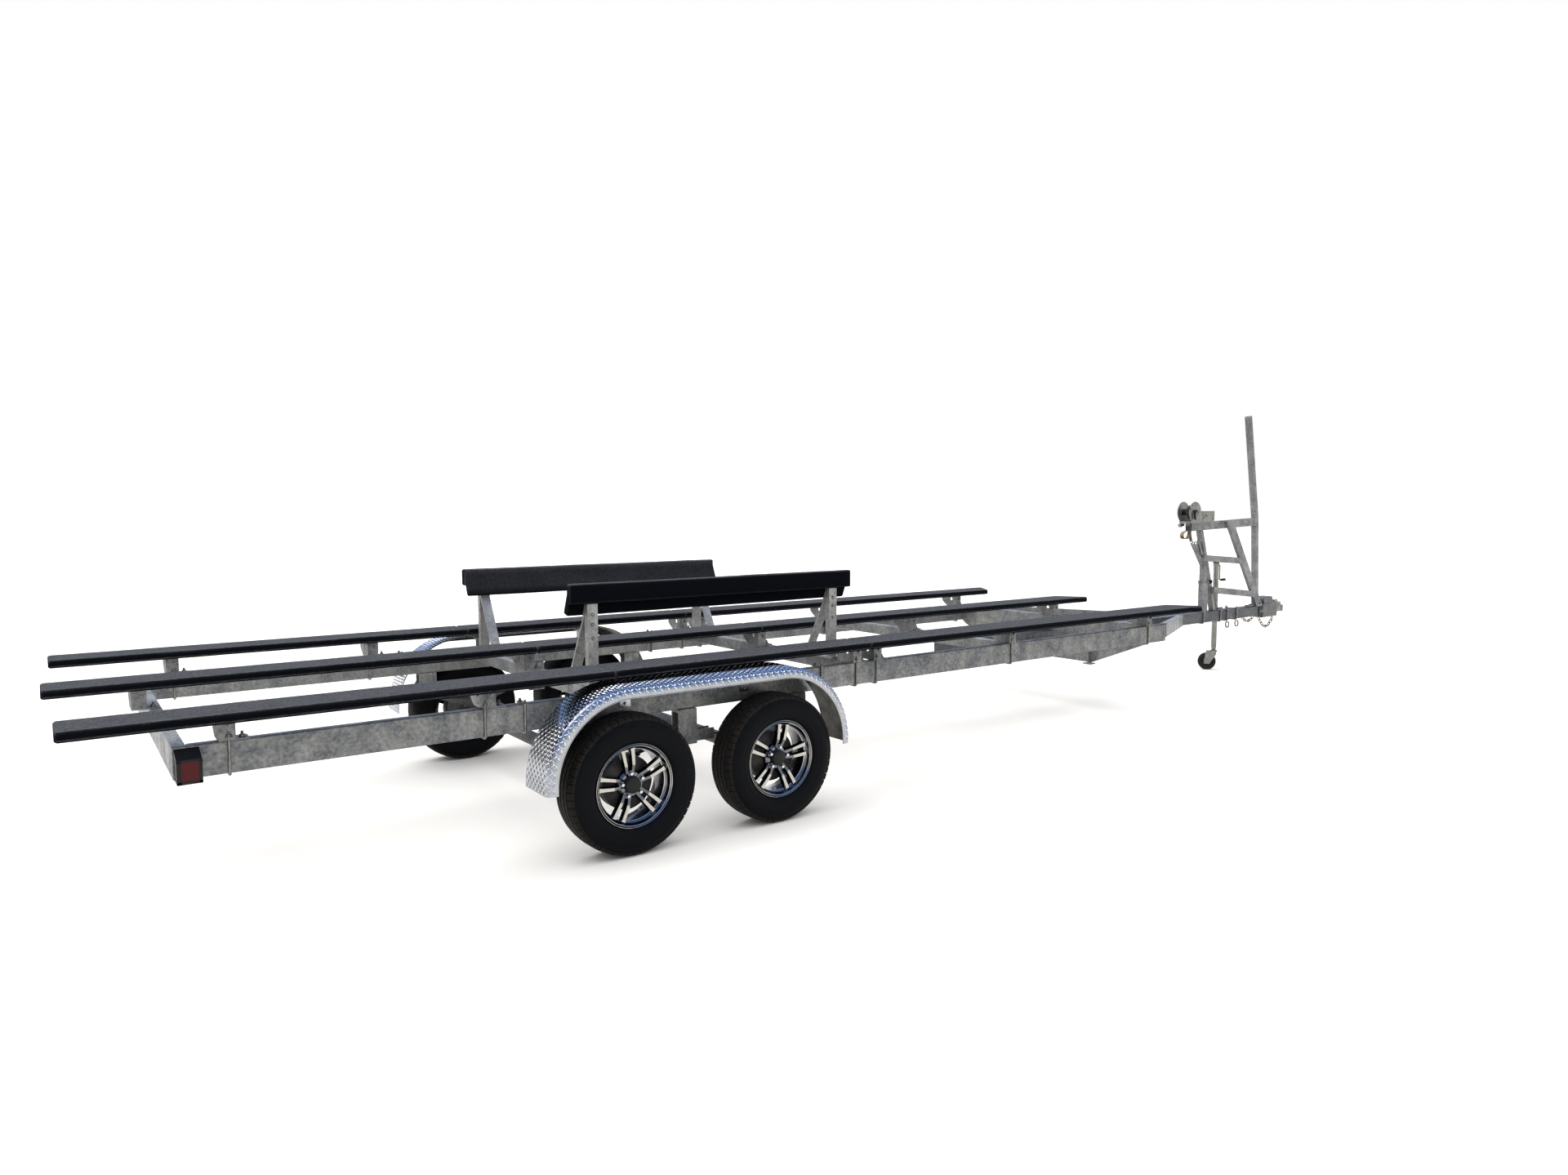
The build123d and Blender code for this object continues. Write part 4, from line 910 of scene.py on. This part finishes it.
def arch_point(along, inset):
    """(x, z, outward x, outward z) at a length along the arch, moved in by inset."""
    mirrored_end = along > arch_length / 2
    if mirrored_end:
        along = arch_length - along
    if along < straight:
        out = (-1.0, 0.0)
        x, z = -(arch_flat + arch_radius - inset), fender_low.z + along
    elif along < straight + quarter:
        angle = (along - straight) / arch_radius
        out = (-math.cos(angle), math.sin(angle))
        x = -arch_flat + (arch_radius - inset) * out[0]
        z = fender_high.z - arch_radius + (arch_radius - inset) * out[1]
    else:
        out = (0.0, 1.0)
        x, z = -arch_flat + along - straight - quarter, fender_high.z - inset
    if mirrored_end:
        x, out = -x, (-out[0], out[1])
    return wheels_middle + x, z, out[0], out[1]


def section_point(across):
    """(y, inset, y share, outward share) across the fender from its inner edge to its skirt's edge."""
    if across < level_run:
        return fender_inner + across, 0.0, 0.0, 1.0
    if across < level_run + shoulder_run:
        angle = (across - level_run) / shoulder
        return (fender_outer - shoulder + shoulder * math.sin(angle), shoulder - shoulder * math.cos(angle),
                math.sin(angle), math.cos(angle))
    return fender_outer, shoulder + across - level_run - shoulder_run, 1.0, 0.0


def fender_point(along, across, lift):
    """Point of the sheet's face, lifted along its own normal."""
    y, inset, y_share, out_share = section_point(across)
    x, z, out_x, out_z = arch_point(along, inset)
    return Vector((x + out_x * out_share * lift, y + y_share * lift, z + out_z * out_share * lift))


print("fender sheet", round(arch_length, 3), "by", round(section_length, 3))

# %% Raised bars of the plate
bar_pitch, bar_length, bar_width = 0.0195, 0.0235, 0.0068
lozenge = (                             # along the bar, across it, and 1 on its ridge
    (-bar_length / 2, 0, 0.0), (-bar_length / 5, bar_width / 2, 0.0), (bar_length / 5, bar_width / 2, 0.0),
    (bar_length / 2, 0, 0.0), (bar_length / 5, -bar_width / 2, 0.0), (-bar_length / 5, -bar_width / 2, 0.0),
    (-bar_length / 4, 0, 1.0), (bar_length / 4, 0, 1.0))
lozenge_faces = [(0, 1, 6), (1, 2, 7, 6), (2, 3, 7), (3, 4, 7), (4, 5, 6, 7), (5, 0, 6)]
diagonal = 0.7071


def tread_bars(work, start, stop_along, stop_across):
    """Lozenges in a chequered order, each a low ridge with pointed ends."""
    for row in range(int((stop_across - start) / bar_pitch)):
        for column in range(int((stop_along - start) / bar_pitch)):
            u = start + (column + 0.5) * bar_pitch
            v = start + (row + 0.5) * bar_pitch
            du, dv = diagonal, diagonal * (1 if (row + column) % 2 else -1)
            work.add([fender_point(u + a * du - b * dv, v + a * dv + b * du,
                                   -bar_height * (1 - lift) - 0.0001 * (1 - lift)) for a, b, lift in lozenge],
                     lozenge_faces, 1)


print("bars", round(bar_length, 4), "by", round(bar_width, 4))


# %% Fenders
def spread(length, marks, step):
    """Stations from 0 to length that keep every mark and are at most step apart."""
    stations = []
    for a, b in zip([0.0] + marks, marks + [length]):
        count = max(1, math.ceil((b - a) / step))
        stations += [a + (b - a) * k / count for k in range(count)]
    return stations + [length]


def fender_mesh(name, side):
    work = Builder()
    top = straight + quarter
    alongs = spread(arch_length, [straight, top, top + 2 * arch_flat, arch_length - straight], 0.030)
    acrosses = spread(section_length, [level_run, level_run + shoulder_run], 0.010)
    acrosses = [0.0] + [a for a in acrosses if a >= level_run - 0.0001]
    work.loft([[fender_point(along, across, -bar_height) for across in acrosses]
               + [fender_point(along, across, -bar_height - sheet) for across in reversed(acrosses)]
               for along in alongs])
    # the sheet's underside takes the third finish, with its painted shade and painted ground reflection
    count = len(acrosses)
    for row in range(len(alongs) - 1):
        for i in range(count, 2 * count - 1):
            work.finishes[row * 2 * count + i] = 2
    edge = 0.004
    tread_bars(work, edge, arch_length - edge, section_length - 0.002)
    for across in (0.003, section_length - 0.001):
        work.rod([fender_point(along, across, -bar_height - sheet / 2) for along in alongs], 0.0032, around=8)
    for end in (-1, 1):
        x0 = wheels_middle + end * 0.360 - 0.030
        for y1, z0 in ((1.026, 0.680), (fender_outer - 0.050, fender_high.z - 0.011)):
            box(work, (x0, 1.0201, z0), (x0 + 0.060, y1, fender_high.z - 0.005), 0.001)
        for z in (0.700, 0.740):
            bolt(work, (x0 + 0.030, 1.026, z), (0, 1, 0), 0.010, 0.006)
    if side < 0:
        for vertex in work.vertices:
            vertex.y = -vertex.y
        work.faces = [tuple(reversed(face)) for face in work.faces]
    return work.mesh(name)


for side_name, side in sides.items():
    dress(f"dressed_fender_{side_name}", fender_mesh(f"fender_{side_name}", side),
          "tread_plate tread_bar tread_back", "frame", (f"fender_{side_name}",))

# %% [markdown]
# ## Fasteners
# The bunk brackets and the tongue are held by U-bolts, bent from round bar that is threaded at both
# ends. One function bends the bar round a rail, and puts a nut and a short end on each leg. They
# are placed by stations along the rails, as a fitter would measure them. Under two of those on
# the tongue hangs a hook.

# %% Helpers for small parts
rail_faces = (0.969, 1.020)
rail_low, rail_high = 0.627, 0.760
tongue_low, tongue_high = 0.525, 0.627


def line_at(y, *points):
    """Points (x, z) in one plane along the trailer."""
    return [at(x, y, z) for x, z in points]


def pin(work, x, z, y0, y1, radius, finish=0, around=16):
    """Short round bar across the trailer."""
    work.rod([at(x, y0, z), at(x, y1, z)], radius, finish, around)


def between(side, near, far):
    """(low y, high y) of what lies between two distances on one side."""
    return sorted((side * near, side * far))


def fit(work, name, finishes, slot, *replaced):
    """Dress the frame with a finished piece."""
    dress(name, work.mesh(name), finishes, "frame", replaced)


def u_bolt(work, x, y0, y1, low, high, bar=0.012, bend=0.014):
    """Bar round three sides of a tube: down one flank, under it and up the other."""
    r = bar / 2
    a, b, z = y0 - r, y1 + r, low - r
    path = ((a, high), (a, z + bend), (a + bend * 0.3, z + bend * 0.3), (a + bend, z),
            (b - bend, z), (b - bend * 0.3, z + bend * 0.3), (b, z + bend), (b, high))
    work.rod([at(x, y, z) for y, z in path], r)
    for y in (a, b):
        bolt(work, at(x, y, high - 0.014), (0, 0, 1), bar, 0.010)


print("rail", round(rail_high - rail_low, 3), "high, tongue", round(tongue_high - tongue_low, 3))

# %% U-bolts, their plates and the tongue's hooks
work = Builder()
for side in (-1, 1):
    y0, y1 = between(side, *rail_faces)
    for x in (-1.679, -0.640, 1.597, 1.757, 2.966, 4.525):
        u_bolt(work, x, y0, y1, rail_low, rail_high + 0.030)
    for x in (-0.448, 1.332):
        u_bolt(work, x, y0, y1, rail_low, rail_high + 0.012)
        box(work, at(x - 0.014, y0 - 0.020, rail_high - 0.0005), at(x + 0.014, y1 + 0.020, rail_high + 0.0045))
for x in (6.902, 7.205, 7.330, 7.504):
    u_bolt(work, x, -0.051, 0.051, tongue_low, tongue_high + 0.020)
    box(work, at(x - 0.016, -0.072, tongue_high - 0.0005), at(x + 0.016, 0.072, tongue_high + 0.006))
for x in (7.330, 7.504):
    work.rod([at(x, -0.057 + 0.017 * math.cos(a), tongue_low - 0.045 - 0.030 * math.sin(a))
              for a in (math.radians(d) for d in range(-80, 261, 20))], 0.0068)
fit(work, "u_bolts", "bolt_zinc", "galvanised")

# %% Bolts through the brackets' feet and faces
work = Builder()
bracket_stations = (-1.715, -0.650, 1.575, 1.735, 2.945, 4.505)
for start, stations in ((-1.026, bracket_stations), (0.963, bracket_stations),
                        (-0.090, (-1.945, -0.072, 1.548, 2.925, 4.572))):
    for x in stations:
        bolt(work, at(x + 0.088, start + 0.030, rail_high + 0.006), (0, 0, 1), 0.012, 0.012)
        bolt(work, at(x + 0.040, start, rail_high + 0.062), (0, -1, 0), 0.010, 0.002)
        bolt(work, at(x + 0.006, start + 0.130, rail_high + 0.066), (1, 0, 0), 0.010, 0.004)
for side in (-1, 1):
    for x in (0.016, 1.604):
        for z in (1.132, 1.080, 1.010):
            nut(work, at(x, side * 0.798, z), (0, side, 0), 0.014, 0.006)
        for y in (0.815, 0.530):
            bolt(work, at(x, side * y, rail_high + 0.010), (0, 0, 1), 0.010, 0.008)
for side in (-1, 1):
    bolt(work, at(4.90, side * 0.93, 0.70), (0, side, 0), 0.012, 0.004)
fit(work, "bracket_bolts", "bolt_zinc", "galvanised")

# %% [markdown]
# ## Straps and hooks of the winch stand
# A tan strap hangs in a loop below the winch arm. Its short end goes to a hook and rings, which
# end in a short bar on the free end of the rear post. Cloth simulation could hang the loop, but a
# strap this stiff keeps its bend, so it is a flat band along given points. The rings are bars
# bent round a circle.

# %% Strap below the arm
def strap(work, points, width, thick):
    """Flat band along points in the XZ plane, its width along Y."""
    side = Vector((0, width / 2, 0))
    rings = []
    for index, point in enumerate(points):
        along = (points[min(index + 1, len(points) - 1)] - points[max(index - 1, 0)]).normalized()
        out = Vector((along.z, 0, -along.x)) * thick / 2
        rings.append([point + out - side, point + out + side, point - out + side, point - out - side])
    work.loft(rings)


work = Builder()
strap(work, line_at(0, (6.672, 1.430), (6.640, 1.428), (6.608, 1.422), (6.582, 1.406), (6.574, 1.384),
                    (6.586, 1.364), (6.612, 1.354), (6.642, 1.353), (6.670, 1.361), (6.690, 1.377),
                    (6.700, 1.400), (6.703, 1.424)), 0.040, 0.004)
strap(work, line_at(-0.004, (6.699, 1.426), (6.706, 1.396), (6.716, 1.362), (6.729, 1.330)), 0.030, 0.005)
fit(work, "strap_tail", "strap_tan", "strap_web")

# %% Hook, rings and bar on the rear post
work = Builder()
for x, y, z, radius, thick, finish, start, stop in (
        (6.736, 0, 1.322, 0.019, 0.0052, 0, -120, 200), (6.757, -0.010, 1.306, 0.016, 0.0045, 1, 0, 360),
        (6.790, -0.018, 1.304, 0.021, 0.0050, 1, 0, 360), (6.836, -0.024, 1.322, 0.030, 0.0060, 0, -20, 330)):
    steps = int((stop - start) / 20)
    angles = [math.radians(start + (stop - start) * k / steps) for k in range(steps + 1)]
    work.rod(line_at(y, *((x + radius * math.cos(a), z + radius * math.sin(a)) for a in angles)), thick, finish)
work.rod(line_at(-0.0365, (6.819, 1.306), (6.828, 1.290), (6.866, 1.200)), [0.006, 0.0085, 0.0085], 1, 12)
bolt(work, at(6.868, -0.0285, 1.190), (0, -1, 0), 0.012, 0.004)
fit(work, "post_fittings", "bolt_zinc zinc_pale", "galvanised")

# %% [markdown]
# ## Winch
# The near cheek carries a bent pawl handle, a nut and a few bolts, and the crank's hub and plate
# stand on the far side. The core of the spool is bare, with the strap wound beside the near cheek.
# Most of this is round, so it is made of short bars, and a bar that changes its radius on the way
# makes the handle and the coil.

# %% Pawl handle, nuts and crank plate
cheek_y = -0.064
spool_x, spool_z = 6.690, 1.6097
pawl_handle = (                         # x, distance off the cheek, z, radius
    (6.722, 0.010, 1.608, 0.009), (6.700, 0.014, 1.621, 0.009), (6.676, 0.014, 1.625, 0.010),
    (6.662, 0.014, 1.616, 0.011), (6.658, 0.014, 1.590, 0.011), (6.664, 0.014, 1.560, 0.010),
    (6.672, 0.014, 1.540, 0.008))
work = Builder()
work.rod([at(x, cheek_y - off, z) for x, off, z, radius in pawl_handle], [row[3] for row in pawl_handle])
for x, z, radius in ((6.602, 1.642, 0.010), (6.640, 1.676, 0.007), (6.640, 1.560, 0.007),
                     (6.840, 1.556, 0.008), (6.700, 1.545, 0.007), (6.995, 1.545, 0.007)):
    pin(work, x, z, cheek_y + 0.001, cheek_y - 0.0012, radius)
for x, z, size, stub in ((6.724, 1.606, 0.016, 0.006), (spool_x, spool_z, 0.018, 0.008),
                         (6.880, 1.575, 0.010, 0.003)):
    bolt(work, at(x, cheek_y, z), (0, -1, 0), size, stub, 1)
pin(work, spool_x, spool_z, 0.064, 0.104, 0.018, 0, 20)
box(work, at(6.704, 0.0975, 1.524), at(6.728, 0.1015, 1.590), 0.0010, 2)
pin(work, 6.701, 1.487, 0.062, 0.086, [0.013, 0.010])
for x in (7.944, 8.020):                # two on the brake case
    pin(work, x, 0.661, -0.0500, -0.0630, 0.010)
fit(work, "winch_fittings", "black_plastic bolt_zinc zinc_pale", "zinc_plate")

# %% Spool and the strap wound on it
work = Builder()
pin(work, spool_x, spool_z, -0.0585, 0.0585, 0.029, 0, 28)
coil = ((-0.0580, 0.050), (-0.0575, 0.0652), (-0.0560, 0.0660), (-0.0070, 0.0655), (-0.0055, 0.0645),
        (-0.0050, 0.031))               # y, radius
work.rod([at(spool_x, y, spool_z) for y, radius in coil], [radius for y, radius in coil], 1, 40)
for turn in range(4):                   # the strap's edges show as rings on the coil's inner face
    rim = 0.038 + 0.0072 * turn
    work.rod(line_at(-0.0046, *((spool_x + rim * math.cos(a), spool_z + rim * math.sin(a))
                                for a in (2 * math.pi * k / 32 for k in range(33)))), 0.0016, 1, 6)
fit(work, "winch_spool", "black_plastic strap_web", "strap_web", "winch_drum")

# %% [markdown]
# ## Fittings of the stand and the tongue
# A dark cap closes the rear end of the winch arm. A bolted clamp holds the post in its sleeve, and
# a black cap covers the bolt of the front leg. Dark side plates lap the brake case over the tongue.
# They are small, but they are what tells a made thing from a plain model.

# %% Arm's end cap
work = Builder()
rings = []
for x, grow in ((6.7000, 0.0), (6.6740, 0.0), (6.6712, -0.0012), (6.6706, -0.004)):
    middle = 1.4650 - (6.700 - x) * 0.0335
    rings.append([at(x, y, middle + z) for y, z in rounded_ring(0.0494 + 2 * grow, 0.0764 + 2 * grow, 0.007)])
work.loft(rings)
fit(work, "arm_cap", "dark_plastic", "black_plastic")

# %% Sleeve's clamp, the leg's bolt, and the side plates of the brake case
clamp_z = 0.923
tube_z = 0.6385                         # short tube behind the brake case
work = Builder()
box(work, at(6.9335, -0.0365, clamp_z - 0.010), at(7.0065, 0.0365, clamp_z + 0.010), 0.0025)
for x, y, axis in ((6.9335, 0.016, (-1, 0, 0)), (6.985, -0.0365, (0, -1, 0)), (7.0065, 0.0, (1, 0, 0))):
    bolt(work, at(x, y, clamp_z), axis, 0.012, 0.004)
work.rod([at(7.049, y, 0.922) for y in (-0.0250, -0.0390, -0.0430)], [0.019, 0.019, 0.014], 1, 20)
work.rod(line_at(-0.030, (7.728, tube_z), (7.916, tube_z)), 0.0115, 0, 14)
for x in (7.728, 7.900):
    nut(work, at(x, -0.030, tube_z), (-1, 0, 0), 0.018, 0.008)
for side in (-1, 1):
    y0, y1 = between(side, 0.0512, 0.0570)
    box(work, at(7.936, y0, 0.528), at(8.030, y1, 0.640), 0.0020, 1)
    for x in (7.960, 8.002):
        bolt(work, at(x, side * 0.0570, 0.576), (0, side, 0), 0.014, 0.004)
fit(work, "stand_fittings", "bolt_zinc black_plastic", "galvanised")

# %% [markdown]
# ## Lamps and jack
# Each tail lamp has a black frame round its lens, which goes round the lamp's rear edge too. It is
# made of thin blocks laid over the lens, measured from the lens itself. The jack has a black cap,
# and a crank of bent bar that hangs down and ends in a tapered black grip.

# %% Lamps' black frames
work = Builder()
for side_name, side in sides.items():
    low, high = node_box(f"lamp_lens_{side_name}")
    lens_y = max(abs(low.y), abs(high.y))
    x0, x1, x2 = low.x - 0.0016, high.x + 0.001, low.x + 0.004
    foot, head, top = low.z - 0.001, (high.z - 0.006, high.z - 0.0002), high.z - 0.0004
    for back, front, bars in (
            (lens_y - 0.004, lens_y + 0.0016, ((x0, x1, foot, low.z + 0.011), (x0, x1, *head),
                                               (high.x - 0.010, x1, low.z, top), (x0, low.x + 0.014, low.z, top))),
            (lens_y - 0.078, lens_y + 0.001, ((x0, x2, foot, low.z + 0.009), (x0, x2, *head))),
            (lens_y - 0.010, lens_y + 0.001, ((x0, x2, low.z, top),))):
        y0, y1 = between(side, back, front)
        for start, stop, z0, z1 in bars:
            box(work, (start, y0, z0), (stop, y1, z1), 0.0010)
fit(work, "lamp_frames", "black_plastic", "black_plastic")

# %% Jack's cap, crank and grip
work = Builder()
jack_x, jack_y = 7.346, 0.089
work.rod([at(jack_x, jack_y, z) for z in (1.0900, 1.1035, 1.1064)], [0.0304, 0.0304, 0.0270], 1, 32)
crank = ((0.026, 1.068), (0.060, 1.068), (0.067, 1.0655), (0.070, 1.059), (0.070, 0.926), (0.073, 0.919),
         (0.080, 0.917), (0.090, 0.917))
work.rod([at(jack_x + ahead, jack_y, z) for ahead, z in crank], 0.0068, 0, 14)
grip = ((0.084, 0.917, 0.0090), (0.086, 0.917, 0.0105), (0.120, 0.9165, 0.0130), (0.160, 0.916, 0.0142),
        (0.172, 0.9155, 0.0115))
work.rod([at(jack_x + ahead, jack_y, z) for ahead, z, radius in grip], [radius for ahead, z, radius in grip], 1, 18)
fit(work, "jack_crank_dressed", "zinc_plate black_plastic", "zinc_plate", "jack_crank")

# %% [markdown]
# ## Light, floor and background
# The light is an open sky: strongest overhead and weak near the horizon, so tops are bright and
# flanks are darker. A wide, weak sun gives it a direction. Polished metal sees a pale horizon that
# turns blue overhead, and the camera sees plain white.

# %% World
world = bpy.data.worlds.new("studio")
bpy.context.scene.world = world
world.use_nodes = True
tree = world.node_tree
height = add(tree, "SeparateXYZ", {0: add(tree, "TexCoord")}).outputs["Z"]
sky = tree.nodes["Background"]
sky.inputs["Color"].default_value = (1.0, 0.985, 0.965, 1)
put(tree, remap(tree, height, 0, 1, 0.24, 1.95), sky.inputs["Strength"])
blue = add(tree, "ValToRGB", {"Fac": height})
stops = ((0.0, (1, 1, 1)), (0.22, (0.86, 0.92, 1.0)), (0.48, (0.27, 0.44, 0.86)), (1.0, (0.18, 0.34, 0.76)))
elements = blue.color_ramp.elements
while len(elements) < len(stops):
    elements.new(0.5)
for element, (position, colour) in zip(elements, stops):
    element.position = position
    element.color = (*colour, 1)
mirrored_sky = add(tree, "Background", {"Color": blue, "Strength": 1.0})
seen = add(tree, "Background", {"Color": (1, 1, 1, 1), "Strength": 1.0})
path = add(tree, "LightPath").outputs
for_metal = add(tree, "MixShader", {0: path["Is Glossy Ray"], 1: sky, 2: mirrored_sky})
for_camera = add(tree, "MixShader", {0: path["Is Camera Ray"], 1: for_metal, 2: seen})
put(tree, for_camera, tree.nodes["World Output"].inputs["Surface"])
print("sky", len(tree.nodes), "shader nodes")

# %% Sun
sun_data = bpy.data.lights.new("sun", "SUN")
sun_data.energy = 1.1
sun_data.angle = math.radians(40)
sun_data.color = (1.0, 0.97, 0.93)
sun = bpy.data.objects.new("sun", sun_data)
sun.rotation_euler = Vector((0.45, -0.22, -0.85)).to_track_quat("-Z", "Y").to_euler()
bpy.context.scene.collection.objects.link(sun)
print("sun", sun_data.energy)

# %% [markdown]
# The floor looks white to the camera and in polished metal, but throws back less light than white
# would, as dry ground does. Otherwise the undersides would glow.

# %% Floor
half = 60
floor_mesh = bpy.data.meshes.new("floor")
floor_mesh.from_pydata([(-half, -half, 0), (half, -half, 0), (half, half, 0), (-half, half, 0)], [], [(0, 1, 2, 3)])
floor = bpy.data.objects.new("floor", floor_mesh)
bpy.context.scene.collection.objects.link(floor)
tree, given = start_material("floor", 0.0, 0.9, shine=0.0)
path = add(tree, "LightPath").outputs
seen = maths(tree, "ADD", path["Is Camera Ray"], path["Is Glossy Ray"])
seen = maths(tree, "ADD", seen, path["Is Transmission Ray"], True)
put(tree, mixed(tree, seen, (0.20, 0.195, 0.185), (0.90, 0.90, 0.90)), given["Base Color"])
floor_mesh.materials.append(looks["floor"])
floor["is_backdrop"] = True

# %% Sizes, and the last line
low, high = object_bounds()
for name, (a, b) in {"visual": (low, high), "cad": (cad_low, cad_high)}.items():
    print(name, "box", [round(end - start, 4) for start, end in zip(a, b)])
